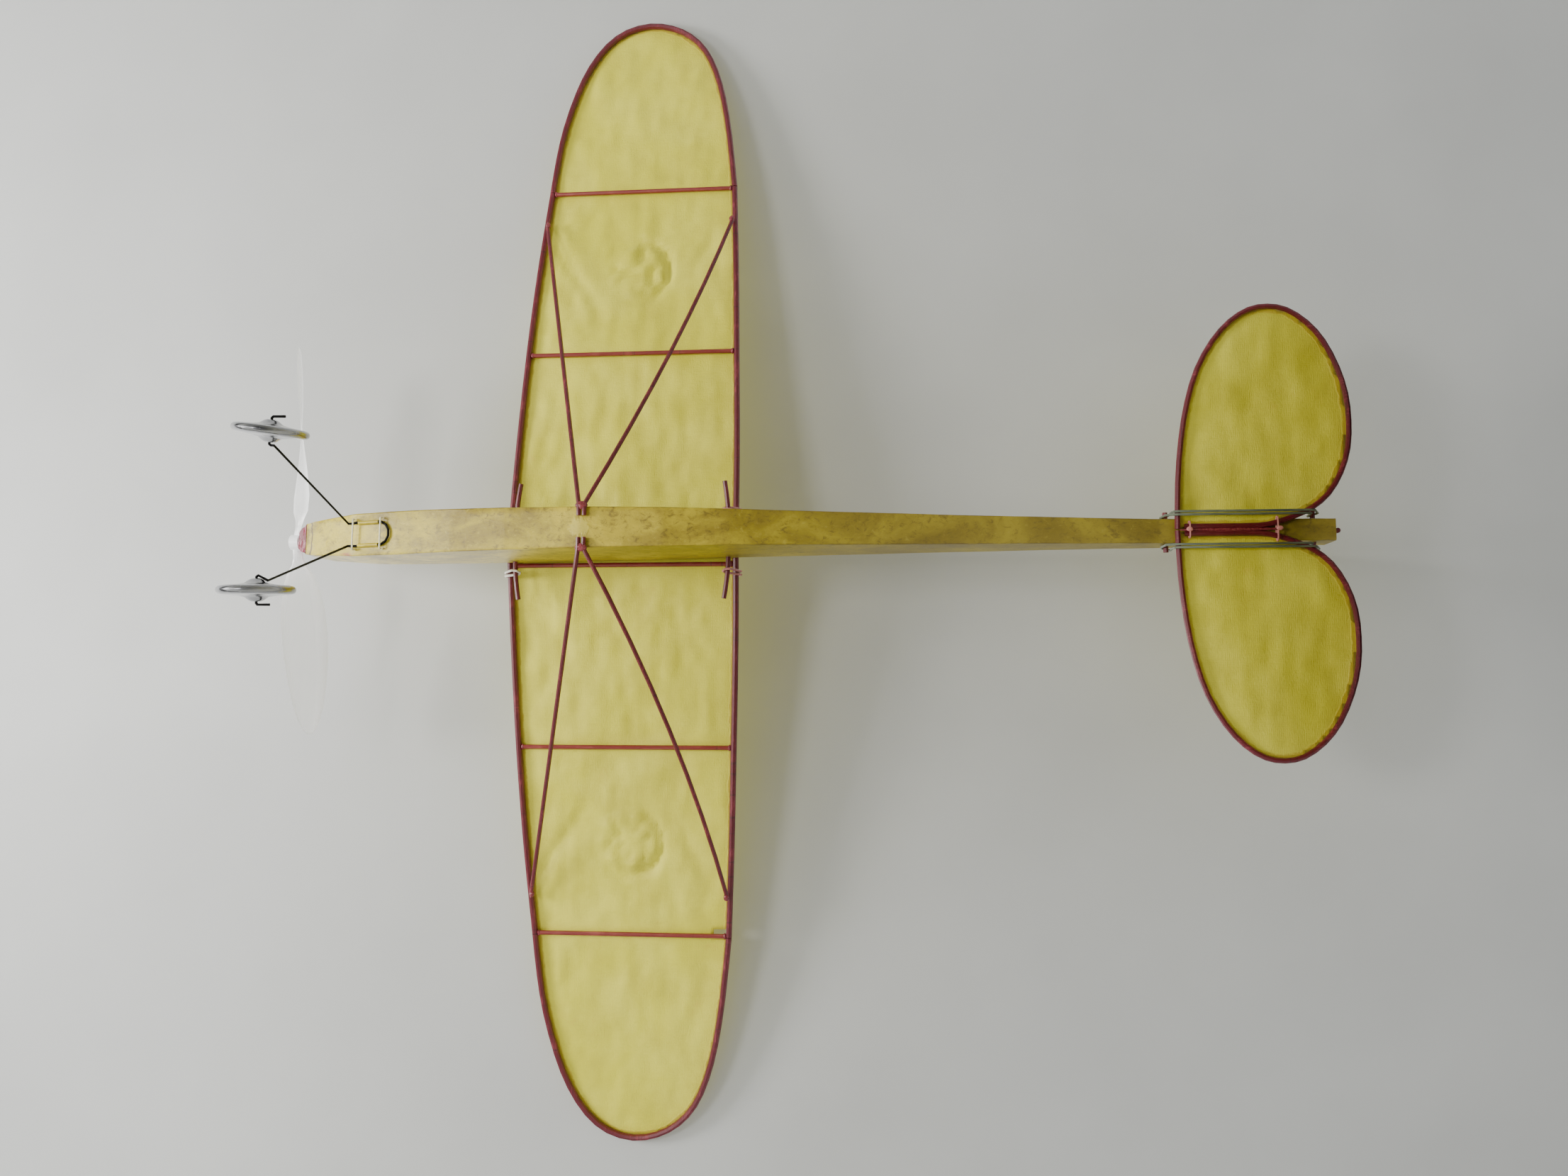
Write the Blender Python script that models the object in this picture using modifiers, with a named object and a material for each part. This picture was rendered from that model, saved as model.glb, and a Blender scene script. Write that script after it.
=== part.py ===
# Stick-and-tissue model aeroplane driven by a twisted rubber band.
#
# Everything is laid out in the aeroplane's own frame first: the fuselage top
# is the plane Z = 0, the wing's leading edge crosses it near Y = 0, the nose
# points to -Y and +X is the aeroplane's left wing.  At the end the whole model
# is pitched nose-up until both wheels and the tail stand on the floor Z = 0.
# All lengths below are millimetres; MM turns them into metres.

import bmesh
import bpy
import math
from mathutils import Matrix, Vector

MM = 0.001
GAP = 0.3                 # glue gap left between touching pieces

# ---- wing ----
SPAN_HALF = 251.4         # centreline of the tip bow from the middle
DIHEDRAL = math.radians(8.95)
ROD_WING = 1.3            # radius of the bent bamboo of the wing outline
ROD_RIB = 0.95
ROD_STRUT = 0.9
STRUT_FOOT_Y = 43.0       # where the four struts meet the belly
STRUT_TOP_X = 147.0
STRUT_BOW_LEFT = 3.0      # the rear struts are bent towards the trailing edge
STRUT_BOW_RIGHT = 4.5
ROOT_RIB_X = 9.2
INNER_RIB_X = 85.0
WING_Z = GAP + ROD_WING   # the sticks rest on the fuselage top
TISSUE = 0.3              # thickness of the paper as a solid
BAND_R = 0.5              # the bands over the wing

# ---- fuselage: (y, half width, depth below the top) ----
STATIONS = (
    (-78.8, 6.3, 17.8),
    (-74.0, 7.2, 19.5),
    (-54.8, 8.6, 27.2),
    (-34.7, 8.8, 32.0),
    (-10.7, 8.6, 36.8),
    (12.0, 8.35, 39.6),
    (41.5, 8.0, 41.3),
    (50.0, 7.93, 41.2),
    (74.2, 7.6, 40.4),
    (99.4, 7.1, 37.7),
    (140.3, 6.5, 31.0),
    (180.0, 5.9, 25.2),
    (222.6, 5.3, 19.3),
    (263.0, 4.9, 14.3),
    (329.0, 4.3, 14.3),
)
WALL = 0.7
THRUST_Z = -8.0           # height of the propeller shaft

# ---- propeller ----
PROP_R = 80.0
BLADE_SWEEP = 0.15        # the blade's middle line trails the radius by this share of it
BLADE_ADVANCE = 24.2      # pitch over one turn, divided by two pi
HUB_Y = -88.2
HUB_R = 3.2
HUB_HALF = 1.9
NOSE_Y = -85.4            # front face of the nose block
SHAFT_R = 0.5
HOOK_Y = -62.4            # centre of the open hook inside the fuselage
HOOK_R = 3.6
BUSH_R = 1.1
BUSH_LONG = 15.0
WASHER_THICK = 0.3
RUN_CLEAR = 0.06          # radial running clearance of turning pieces

MOTOR_R = 0.8             # one strand of the rubber motor

# ---- landing gear ----
WHEEL_R = 13.0
WHEEL_HALF = 4.0          # half thickness at the hub
WHEEL_LEFT = Vector((28.2, -57.4, -87.1))
WHEEL_RIGHT = Vector((-28.2, -59.9, -86.9))
AXLE_LEFT = Vector((0.981, 0.138, -0.139)).normalized()
AXLE_RIGHT = Vector((-0.998, 0.0, 0.07)).normalized()
WIRE_R = 0.5
KNEE_LEFT = Vector((23.0, -56.0, -86.9))      # where each leg leaves its axle
KNEE_RIGHT = Vector((-24.9, -55.8, -86.9))
GEAR_Y = -56.4            # where the legs meet the belly
CLIP_END_Y = -37.7        # rear end of the wire's clip under the belly

# ---- tail ----
ROD_TAIL = 1.05
TAIL_BAND_R = 0.45
SEAT_Z = -14.3            # underside of the fuselage at the tail
STAB_Z = SEAT_Z - GAP - TISSUE - GAP - ROD_TAIL
STAB_REAR_Y = 334.7       # centreline of the rearmost stick

# ---- dowels through the fuselage ----
DOWEL_R = 1.0
WING_PEG_HALF = 24.2
TAIL_PEG_HALF = 7.8
WING_PEG_Z = -4.0
FRONT_PEG_Y = 4.9
REAR_PEG_Y = 94.0
PEG_BOW = 1.7             # how far the ends of a wing dowel are bent towards mid chord
TAIL_PEG_Z = -9.6
MOTOR_PEG_Y = 266.6
TAIL_PEG_Y = 322.0

# Half outline of the wing (x, y): leading edge, tip bow, trailing edge.
LEADING = ((0.0, 0.4), (40.0, 1.0), (85.0, 2.3), (125.0, 4.4), (164.3, 7.5))
TIP = (
    (164.6, 7.5), (182.0, 9.0), (198.0, 11.3), (216.0, 15.8), (230.0, 21.2),
    (241.5, 28.6), (248.6, 37.5), (251.4, 48.5), (249.6, 59.0), (244.6, 68.0),
    (236.5, 75.2), (225.0, 80.5), (210.0, 84.6), (190.0, 88.0), (164.6, 91.0),
)
TRAILING = ((0.0, 96.2), (40.0, 95.6), (85.0, 94.2), (125.0, 92.8), (164.3, 91.0))


def at_span(outline, reach):
    """The outline with its x values stretched from reach to SPAN_HALF."""
    return tuple((x * SPAN_HALF / reach, y) for x, y in outline)


BOW_REACH = max(x for x, _ in TIP)
LEADING, TIP, TRAILING = [at_span(line, BOW_REACH) for line in (LEADING, TIP, TRAILING)]
OUTER_RIB_X = LEADING[-1][0] - GAP     # where each tip bow meets the edges

# Half outline of the tailplane (x, y), from the middle of the leading edge
# round the lobe and back along the middle.
STAB = (
    (0.25, 269.7), (18.0, 270.3), (35.0, 272.0), (50.0, 274.8), (63.0, 278.9),
    (74.0, 285.0), (81.8, 291.9), (86.4, 299.2), (87.5, 306.2), (86.0, 313.2),
    (80.7, 320.6), (73.0, 326.6), (62.5, 331.3), (52.0, 334.0), (41.5, 334.7),
    (31.0, 333.9), (21.5, 330.9), (13.4, 326.0), (8.2, 319.9), (5.0, 313.4),
    (2.6, 306.4), (1.5, 300.0), (1.4, 286.0), (1.4, 272.4),
)

# Side outline of the fin (y, z), from its front foot over the top and down
# the post behind the tail end.
FIN = (
    (272.4, 3.9), (273.4, 12.0), (277.0, 24.0), (283.0, 35.0), (292.0, 45.0),
    (303.0, 51.6), (315.0, 54.4), (325.4, 52.6), (331.9, 45.0), (333.6, 33.0),
    (332.6, 18.0), (331.2, 6.0), (330.8, -2.0), (330.8, -11.0),
)

COLLECTION = "rubber_band_plane"


# ---------------------------------------------------------------- scene set-up

def clear_scene():
    """Start from nothing."""
    for obj in list(bpy.data.objects):
        bpy.data.objects.remove(obj, do_unlink=True)


def make_collection(name):
    """A collection linked to the scene."""
    col = bpy.data.collections.new(name)
    bpy.context.scene.collection.children.link(col)
    return col


clear_scene()
PARTS = make_collection(COLLECTION)
CUTTERS = make_collection(COLLECTION + "_cutters")
CUTTERS.hide_render = True


def material(name, colour, rough, metal=0.0, alpha=1.0):
    """One Principled material, made once and shared by name."""
    mat = bpy.data.materials.get(name)
    if mat is None:
        mat = bpy.data.materials.new(name)
        mat.use_nodes = True
        shader = mat.node_tree.nodes["Principled BSDF"]
        shader.inputs["Base Color"].default_value = (*colour, 1.0)
        shader.inputs["Roughness"].default_value = rough
        shader.inputs["Metallic"].default_value = metal
        shader.inputs["Alpha"].default_value = alpha
    return mat


def bamboo():
    return material("stained_bamboo", (0.16, 0.03, 0.035), 0.45)


def rib_wood():
    return material("rib_bamboo", (0.38, 0.13, 0.09), 0.5)


def tissue_paper():
    return material("yellow_tissue", (0.60, 0.55, 0.20), 0.8)


def card():
    return material("ochre_card", (0.46, 0.38, 0.11), 0.4)


def wire_black():
    return material("black_wire", (0.015, 0.013, 0.012), 0.35, 0.8)


# ---------------------------------------------------------------- shape helpers

def wing_z(x):
    """Height of the wing's stick plane at span position x."""
    return WING_Z + math.tan(DIHEDRAL) * abs(x)


def spline(points, steps):
    """Smooth path through the points, several samples per span."""
    out = []
    last = len(points) - 1
    for i in range(last):
        p0 = Vector(points[max(i - 1, 0)])
        p1 = Vector(points[i])
        p2 = Vector(points[i + 1])
        p3 = Vector(points[min(i + 2, last)])
        for k in range(steps):
            t = k / steps
            a = 2 * p1
            b = (p2 - p0) * t
            c = (2 * p0 - 5 * p1 + 4 * p2 - p3) * t * t
            d = (3 * p1 - p0 - 3 * p2 + p3) * t ** 3
            out.append((a + b + c + d) * 0.5)
    out.append(Vector(points[-1]))
    return out


def add_mesh(name, mesh, mat, col=None):
    """Put a mesh in a collection under its own name."""
    obj = bpy.data.objects.new(name, mesh)
    if mat is not None:
        obj.data.materials.append(mat)
    (col or PARTS).objects.link(obj)
    return obj


def rod(name, points, radius, mat, ring=False, sides=2):
    """A round stick, wire or band that follows a line of points."""
    curve = bpy.data.curves.new(name + "_line", "CURVE")
    curve.dimensions = "3D"
    curve.bevel_depth = radius * MM
    curve.bevel_resolution = sides
    curve.use_fill_caps = not ring
    line = curve.splines.new("POLY")
    line.points.add(len(points) - 1)
    for slot, p in zip(line.points, points):
        slot.co = (p[0] * MM, p[1] * MM, p[2] * MM, 1.0)
    line.use_cyclic_u = ring
    temp = bpy.data.objects.new(name + "_line", curve)
    PARTS.objects.link(temp)
    mesh = bpy.data.meshes.new_from_object(temp)
    bpy.data.objects.remove(temp, do_unlink=True)
    bm = bmesh.new()
    bm.from_mesh(mesh)
    bmesh.ops.remove_doubles(bm, verts=bm.verts, dist=0.00001)
    bmesh.ops.recalc_face_normals(bm, faces=bm.faces)
    bm.to_mesh(mesh)
    bm.free()
    mesh.materials.clear()
    return add_mesh(name, mesh, mat)


def slab(name, outline, offset, mat):
    """A thin solid: an outline in space pushed along one direction."""
    bm = bmesh.new()
    verts = [bm.verts.new(Vector(p) * MM) for p in outline]
    face = bm.faces.new(verts)
    grown = bmesh.ops.extrude_face_region(bm, geom=[face])
    moved = [v for v in grown["geom"] if isinstance(v, bmesh.types.BMVert)]
    bmesh.ops.translate(bm, verts=moved, vec=Vector(offset) * MM)
    bmesh.ops.recalc_face_normals(bm, faces=bm.faces)
    mesh = bpy.data.meshes.new(name)
    bm.to_mesh(mesh)
    bm.free()
    return add_mesh(name, mesh, mat)


def loft(name, rings, mat, col=None):
    """Skin rings of equal length one after another and close both ends."""
    bm = bmesh.new()
    rows = [[bm.verts.new(Vector(p) * MM) for p in ring] for ring in rings]
    count = len(rows[0])
    for a, b in zip(rows, rows[1:]):
        for i in range(count):
            j = (i + 1) % count
            bm.faces.new((a[i], a[j], b[j], b[i]))
    bm.faces.new(rows[0])
    bm.faces.new(rows[-1])
    bmesh.ops.recalc_face_normals(bm, faces=bm.faces)
    mesh = bpy.data.meshes.new(name)
    bm.to_mesh(mesh)
    bm.free()
    return add_mesh(name, mesh, mat, col)


def turned(name, profile, mat, steps=32):
    """Turn a closed (radius, height) profile about Z with a Screw modifier."""
    bm = bmesh.new()
    verts = [bm.verts.new((r * MM, 0.0, h * MM)) for r, h in profile]
    for i, v in enumerate(verts):
        bm.edges.new((v, verts[(i + 1) % len(verts)]))
    mesh = bpy.data.meshes.new(name)
    bm.to_mesh(mesh)
    bm.free()
    obj = add_mesh(name, mesh, mat)
    screw = obj.modifiers.new("turn", "SCREW")
    screw.angle = math.tau
    screw.steps = steps
    screw.render_steps = steps
    screw.use_merge_vertices = True
    screw.merge_threshold = 0.00001
    return obj


def cylinder(name, start, end, radius, col=None, sides=24):
    """A plain cylinder between two points."""
    a = Vector(start) * MM
    b = Vector(end) * MM
    bm = bmesh.new()
    bmesh.ops.create_cone(bm, cap_ends=True, segments=sides, radius1=radius * MM,
                          radius2=radius * MM, depth=(b - a).length)
    turn = Vector((0, 0, 1)).rotation_difference(b - a).to_matrix().to_4x4()
    bm.transform(Matrix.Translation((a + b) / 2) @ turn)
    mesh = bpy.data.meshes.new(name)
    bm.to_mesh(mesh)
    bm.free()
    return add_mesh(name, mesh, None, col)


def cut(target, tool, operation="DIFFERENCE"):
    """Boolean modifier with a wire-drawn tool kept in the cutter collection."""
    tool.display_type = "WIRE"
    tool.hide_render = True
    mod = target.modifiers.new("bool_" + tool.name, "BOOLEAN")
    mod.operation = operation
    mod.solver = "EXACT"
    mod.object = tool
    return mod


def bake(obj):
    """Replace the mesh by the result of its modifiers."""
    mats = list(obj.data.materials)
    graph = bpy.context.evaluated_depsgraph_get()
    mesh = bpy.data.meshes.new_from_object(obj.evaluated_get(graph))
    obj.modifiers.clear()
    obj.data = mesh
    obj.data.materials.clear()
    for mat in mats:
        obj.data.materials.append(mat)
    return obj


# ---------------------------------------------------------------- fuselage

def section(y):
    """Half width and depth of the fuselage at y."""
    for (y0, w0, d0), (y1, w1, d1) in zip(STATIONS, STATIONS[1:]):
        if y <= y1:
            t = (y - y0) / (y1 - y0)
            return w0 + (w1 - w0) * t, d0 + (d1 - d0) * t
    return STATIONS[-1][1], STATIONS[-1][2]


def box_ring(y, half, top, bottom):
    """Four corners of a cross-section."""
    return ((-half, y, top), (half, y, top), (half, y, bottom), (-half, y, bottom))


def fuselage_shell():
    """Square tube of stiff card, open at both ends, with dowel holes."""
    outer = [box_ring(y, w, 0.0, -d) for y, w, d in STATIONS]
    inner = [box_ring(y, w - WALL, -WALL, -d + WALL) for y, w, d in STATIONS]
    bm = bmesh.new()
    rows_out = [[bm.verts.new(Vector(p) * MM) for p in ring] for ring in outer]
    rows_in = [[bm.verts.new(Vector(p) * MM) for p in ring] for ring in inner]
    for rows in (rows_out, rows_in):
        for a, b in zip(rows, rows[1:]):
            for i in range(4):
                j = (i + 1) % 4
                bm.faces.new((a[i], a[j], b[j], b[i]))
    for k in (0, -1):
        for i in range(4):
            j = (i + 1) % 4
            bm.faces.new((rows_out[k][i], rows_out[k][j], rows_in[k][j], rows_in[k][i]))
    bmesh.ops.recalc_face_normals(bm, faces=bm.faces)
    mesh = bpy.data.meshes.new("fuselage_shell")
    bm.to_mesh(mesh)
    bm.free()
    shell = add_mesh("fuselage_shell", mesh, card())
    pegs = (
        (FRONT_PEG_Y, WING_PEG_Z), (REAR_PEG_Y, WING_PEG_Z),
        (MOTOR_PEG_Y, TAIL_PEG_Z), (TAIL_PEG_Y, TAIL_PEG_Z),
    )
    for i, (y, z) in enumerate(pegs):
        tool = cylinder("cut_peg_%d" % i, (-20, y, z), (20, y, z), DOWEL_R + 0.15, CUTTERS, 20)
        cut(shell, tool)
    return bake(shell)


def former(name, y, hole_half, hole_top, hole_low):
    """Card frame across the fuselage with a window for the rubber motor."""
    w0, d0 = section(y)
    w1, d1 = section(y + 1.2)
    w = min(w0, w1) - WALL - GAP
    top = -WALL - GAP
    low = -min(d0, d1) + WALL + GAP
    frame = loft(name, (box_ring(y, w, top, low), box_ring(y + 1.2, w, top, low)),
                 material("former_card", (0.55, 0.47, 0.33), 0.7))
    rings = (box_ring(y - 2, hole_half, hole_top, hole_low),
             box_ring(y + 4, hole_half, hole_top, hole_low))
    cut(frame, loft("cut_" + name, rings, None, CUTTERS))
    return bake(frame)


def nose_block():
    """Red tapered plug that closes the front and carries the shaft bush."""
    front, w0, d0 = STATIONS[0]
    plug_half = w0 - WALL - GAP
    plug_low = -d0 + WALL + GAP
    back = front - GAP
    rings = (
        box_ring(NOSE_Y, 3.4, THRUST_Z + 3.6, THRUST_Z - 4.2),
        box_ring(NOSE_Y + 1.6, 4.5, THRUST_Z + 4.8, THRUST_Z - 5.6),
        box_ring(back, w0 - 0.1, -0.4, -d0 + 0.1),
        box_ring(back + 0.1, plug_half, -WALL - GAP, plug_low),
        box_ring(back + 8.0, plug_half, -WALL - GAP, plug_low),
    )
    block = loft("nose_block", rings, material("red_paint", (0.45, 0.05, 0.09), 0.35))
    tool = cylinder("cut_bush", (0, NOSE_Y - 9, THRUST_Z), (0, NOSE_Y + 26, THRUST_Z),
                    BUSH_R + 0.1, CUTTERS)
    cut(block, tool)
    return bake(block)


def shaft_bush():
    """Brass tube the propeller shaft turns in."""
    bore = SHAFT_R + RUN_CLEAR
    profile = ((bore, BUSH_LONG), (BUSH_R, BUSH_LONG), (BUSH_R, 0.0), (bore, 0.0))
    bush = turned("shaft_bush", profile, material("brass", (0.6, 0.45, 0.15), 0.3, 1.0), 24)
    bake(bush)
    bush.data.transform(Matrix.Translation(Vector((0, NOSE_Y + BUSH_LONG, THRUST_Z)) * MM)
                        @ Matrix.Rotation(math.radians(90), 4, "X"))
    return bush


def tail_plug():
    """Small block that closes the tail end."""
    end, w, d = STATIONS[-1]
    w = w - WALL - GAP
    rings = (box_ring(end - 4.0, w, -WALL - GAP, -d + WALL + GAP),
             box_ring(end - 0.1, w, -WALL - GAP, -d + WALL + GAP))
    return loft("tail_plug", rings, material("plug_balsa", (0.5, 0.36, 0.2), 0.7))


def pegs():
    """Four bamboo dowels pushed through the fuselage sides."""
    wood = bamboo()
    for name, y, z, half, bow in (
        ("wing_peg_front", FRONT_PEG_Y, WING_PEG_Z, WING_PEG_HALF, PEG_BOW),
        ("wing_peg_rear", REAR_PEG_Y, WING_PEG_Z, WING_PEG_HALF, -PEG_BOW),
        ("motor_peg", MOTOR_PEG_Y, TAIL_PEG_Z, TAIL_PEG_HALF, 0.0),
        ("tail_peg", TAIL_PEG_Y, TAIL_PEG_Z, TAIL_PEG_HALF, 0.0),
    ):
        line = []
        for k in range(13):
            x = half * (k / 6 - 1)
            line.append((x, y + peg_bend(x, half, bow), z))
        rod(name, line, DOWEL_R, wood)


def peg_bend(x, half, bow):
    """Straight inside the fuselage, bending outside it."""
    free = max(0.0, abs(x) - 9.0) / (half - 9.0) if bow else 0.0
    return bow * free ** 1.5


# ---------------------------------------------------------------- wing

def both(points):
    """A half line continued through the middle to the other side."""
    right = [(-x, y) for x, y in reversed(points[1:])]
    return right + list(points)


def wing_spars():
    """Leading and trailing edge, each one stick bent in the middle."""
    wood = bamboo()
    for name, line in (("wing_leading_edge", LEADING), ("wing_trailing_edge", TRAILING)):
        dense = [(p[0], p[1]) for p in spline([(x, y, 0) for x, y in line], 3)]
        full = both(dense)
        rod(name, [(x, y, wing_z(x)) for x, y in full], ROD_WING, wood)


def wing_tip(side, sign):
    """The bent bow that closes one end of the wing."""
    dense = spline([(x, y, 0) for x, y in TIP], 2)
    line = [(sign * p[0], p[1], wing_z(p[0])) for p in dense]
    rod("wing_tip_" + side, line, ROD_WING, bamboo())


def edge_y(line, x):
    """Y of a leading or trailing edge at span position x."""
    for (x0, y0), (x1, y1) in zip(line, line[1:]):
        if x <= x1:
            return y0 + (y1 - y0) * (x - x0) / (x1 - x0)
    return line[-1][1]


def wing_ribs(side, sign):
    """Straight cross sticks between the edges."""
    for label, x in zip(("root", "inner", "outer"), (ROOT_RIB_X, INNER_RIB_X, OUTER_RIB_X)):
        front = edge_y(LEADING, x) + ROD_WING + GAP
        rear = edge_y(TRAILING, x) - ROD_WING - GAP
        ends = [(sign * x, front, wing_z(x)), (sign * x, rear, wing_z(x))]
        rod("wing_rib_%s_%s" % (label, side), ends, ROD_RIB, rib_wood())


def wing_tissue(side, sign):
    """Paper skin on top of one half of the frame."""
    front = [(p[0], p[1]) for p in spline([(x, y, 0) for x, y in LEADING], 3)]
    tip = [(p[0], p[1]) for p in spline([(x, y, 0) for x, y in TIP], 2)]
    back = [(p[0], p[1]) for p in spline([(x, y, 0) for x, y in TRAILING], 3)]
    outline = front + tip[1:-1] + back[::-1]
    lift = (ROD_WING + GAP) / math.cos(DIHEDRAL)
    ring = []
    for x, y in outline:
        x = max(x, 0.25)
        ring.append((sign * x, y, wing_z(x) + lift))
    slab("wing_tissue_" + side, ring, (0, 0, TISSUE), tissue_paper())


def strut(name, sign, foot_y, line, top_x, bow=0.0):
    """Stick from the belly to the wing edge, bent where it clears the corner."""
    _, depth = section(foot_y)
    low = -depth - GAP - ROD_STRUT - 0.1
    half, _ = section(foot_y)
    edge = edge_y(line, top_x)
    inward = 0.9 if line is LEADING else -0.9
    top = (sign * top_x, edge + inward, wing_z(top_x) - ROD_WING - GAP - ROD_STRUT)
    corner = Vector((sign * (half + 0.5), foot_y, low - 0.05))
    points = [(sign * 4.2, foot_y, low), corner]
    for k in range(1, 9):
        share = k / 8
        bulge = Vector((0.0, 4 * bow * share * (1 - share), 0.0))
        points.append(corner.lerp(Vector(top), share) + bulge)
    rod(name, points, ROD_STRUT, rib_wood())


def wing_struts(side, sign):
    """The V of two struts under one half."""
    apart = ROD_STRUT + 0.16
    strut("strut_front_" + side, sign, STRUT_FOOT_Y - apart, LEADING, STRUT_TOP_X)
    bow = STRUT_BOW_LEFT if sign > 0 else STRUT_BOW_RIGHT
    strut("strut_rear_" + side, sign, STRUT_FOOT_Y + apart, TRAILING, STRUT_TOP_X, bow)


def wing_band(name, peg_y, edge_line, outward, tint):
    """Rubber band hooked on both ends of a dowel and stretched over the wing."""
    x1 = 12.2
    x2 = 13.6
    edge = edge_y(edge_line, x1)
    ez = wing_z(x1)
    o = outward
    grip = DOWEL_R + BAND_R                      # from the dowel's axis to the band's
    side = ROD_WING + BAND_R                     # from the wing stick's axis to the band's
    over = ROD_WING + GAP + TISSUE + BAND_R      # the same above the paper
    peg_y = peg_y - o * peg_bend((x1 + x2) / 2, WING_PEG_HALF, PEG_BOW)
    low = (
        (x1, peg_y + o * 1.0, WING_PEG_Z - grip - 0.4),
        (x1, edge + o * (side - 0.1), ez - side + 0.3),
        (x1, edge + o * (side + 0.45), ez + 0.2),
        (x1, edge + o * (side - 0.3), ez + side + 0.1),
        (x1, edge - o * 0.4, ez + over + 0.55),
    )
    high = (
        (x2, peg_y + o * 0.2, WING_PEG_Z + grip + 0.4),
        (x2, edge + o * (side - 0.1), ez - side + 0.4),
        (x2, edge + o * (side + 0.45), ez + 0.4),
        (x2, edge + o * (side - 0.3), ez + side + 0.3),
        (x2, edge - o * 0.4, ez + over + 0.8),
        (x2 - 0.6, edge - o * 1.8, ez + over + 0.9),
    )
    turn = (
        (x1 + 0.2, peg_y - o * (grip - 0.6), WING_PEG_Z - grip - 0.2),
        (x1 + 0.7, peg_y - o * (grip + 0.4), WING_PEG_Z),
        (x2 - 0.2, peg_y - o * (grip - 0.3), WING_PEG_Z + grip),
    )
    # one closed ring: out along the low strand, round the dowel, back along
    # the high strand, and the same mirrored on the other side
    left = list(reversed(low)) + list(turn) + list(high)
    right = [(-x, y, z) for x, y, z in reversed(left)]
    rod(name, left + right, BAND_R, tint, ring=True)


# ---------------------------------------------------------------- tail

def stab_loop(side, sign):
    """One heart-shaped half of the tailplane outline, a single bent stick."""
    dense = spline([(x, y, 0) for x, y in STAB], 2)
    line = [(sign * p[0], p[1], STAB_Z) for p in dense]
    rod("tailplane_frame_" + side, line, ROD_TAIL, bamboo())


def stab_tissue(side, sign):
    """Paper skin on top of one half of the tailplane."""
    dense = spline([(x, y, 0) for x, y in STAB], 2)
    z = STAB_Z + ROD_TAIL + GAP
    ring = [(sign * max(p[0], 0.6), p[1], z) for p in dense]
    slab("tailplane_tissue_" + side, ring, (0, 0, TISSUE), tissue_paper())


def lashing(name, y, half):
    """Thread wound round the two middle sticks, seen from below."""
    low = STAB_Z - ROD_TAIL - GAP - 0.35
    high = STAB_Z + 0.5
    line = [(half, y, high), (half, y, low + 0.3), (half - 0.35, y, low),
            (-half + 0.35, y, low), (-half, y, low + 0.3), (-half, y, high)]
    rod(name, line, 0.35, material("thread", (0.62, 0.33, 0.3), 0.7))


def tail_band(side, sign):
    """Rubber band from the motor peg under the tailplane to the tail peg."""
    x1 = 5.75
    x2 = 6.95
    le_y = 269.8
    low = STAB_Z - ROD_TAIL - GAP - 0.5
    out_y = 317.6
    grip = DOWEL_R + TAIL_BAND_R                 # from the dowel's axis to the band's
    strand_a = (
        (x1, MOTOR_PEG_Y - grip - 0.3, TAIL_PEG_Z),
        (x1, MOTOR_PEG_Y - 1.3, STAB_Z),
        (x1, le_y - 1.5, STAB_Z - 1.5),
        (x1, le_y + 0.3, low),
        (x1, out_y + 0.2, low),
        (x1, out_y + 1.5, STAB_Z - 1.0),
        (x1, TAIL_PEG_Y - grip - 0.3, TAIL_PEG_Z),
    )
    over_rear = (
        (x1 + 0.3, TAIL_PEG_Y - grip + 0.35, TAIL_PEG_Z + grip + 0.05),
        (x1 + 0.6, TAIL_PEG_Y, TAIL_PEG_Z + grip + 0.4),
        (x2 - 0.2, TAIL_PEG_Y + grip - 0.15, TAIL_PEG_Z + grip - 0.05),
    )
    strand_b = (
        (x2, TAIL_PEG_Y + grip + 0.55, TAIL_PEG_Z - 0.3),
        (x2, out_y + 2.9, STAB_Z - 1.0),
        (x2, out_y + 1.2, low),
        (x2, le_y + 0.3, low),
        (x2, le_y - 1.5, STAB_Z - 1.2),
        (x2, MOTOR_PEG_Y + 1.2, STAB_Z + 1.5),
        (x2, MOTOR_PEG_Y + grip + 0.35, TAIL_PEG_Z),
    )
    over_front = (
        (x2 - 0.2, MOTOR_PEG_Y + grip - 0.25, TAIL_PEG_Z + grip + 0.05),
        (x1 + 0.6, MOTOR_PEG_Y, TAIL_PEG_Z + grip + 0.4),
        (x1 + 0.2, MOTOR_PEG_Y - grip + 0.25, TAIL_PEG_Z + grip - 0.05),
    )
    ring = strand_a + over_rear + strand_b + over_front
    tint = material("band_grey", (0.24, 0.27, 0.22), 0.6)
    rod("tail_band_" + side, [(sign * x, y, z) for x, y, z in ring], TAIL_BAND_R, tint, ring=True)


def fin():
    """Upright tail surface: bent stick, foot stick and paper on one side."""
    dense = spline([(0, y, z) for y, z in FIN], 2)
    rod("fin_frame", [(p[0], p[1], p[2]) for p in dense], ROD_TAIL, bamboo())
    foot_z = GAP + ROD_TAIL
    rod("fin_foot", [(0, 271.0, foot_z), (0, 329.2, foot_z)], ROD_TAIL, bamboo())
    side = ROD_TAIL + GAP
    ring = [(side, p[1], p[2]) for p in dense if p[2] > 2.6]
    ring.append((side, 330.4, 1.4))
    ring.append((side, 272.6, 1.4))
    slab("fin_tissue", ring, (TISSUE, 0, 0), tissue_paper())


# ---------------------------------------------------------------- landing gear

def axle_direction(sign):
    """Unit vector along one axle, pointing outward."""
    return AXLE_LEFT if sign > 0 else AXLE_RIGHT


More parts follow.
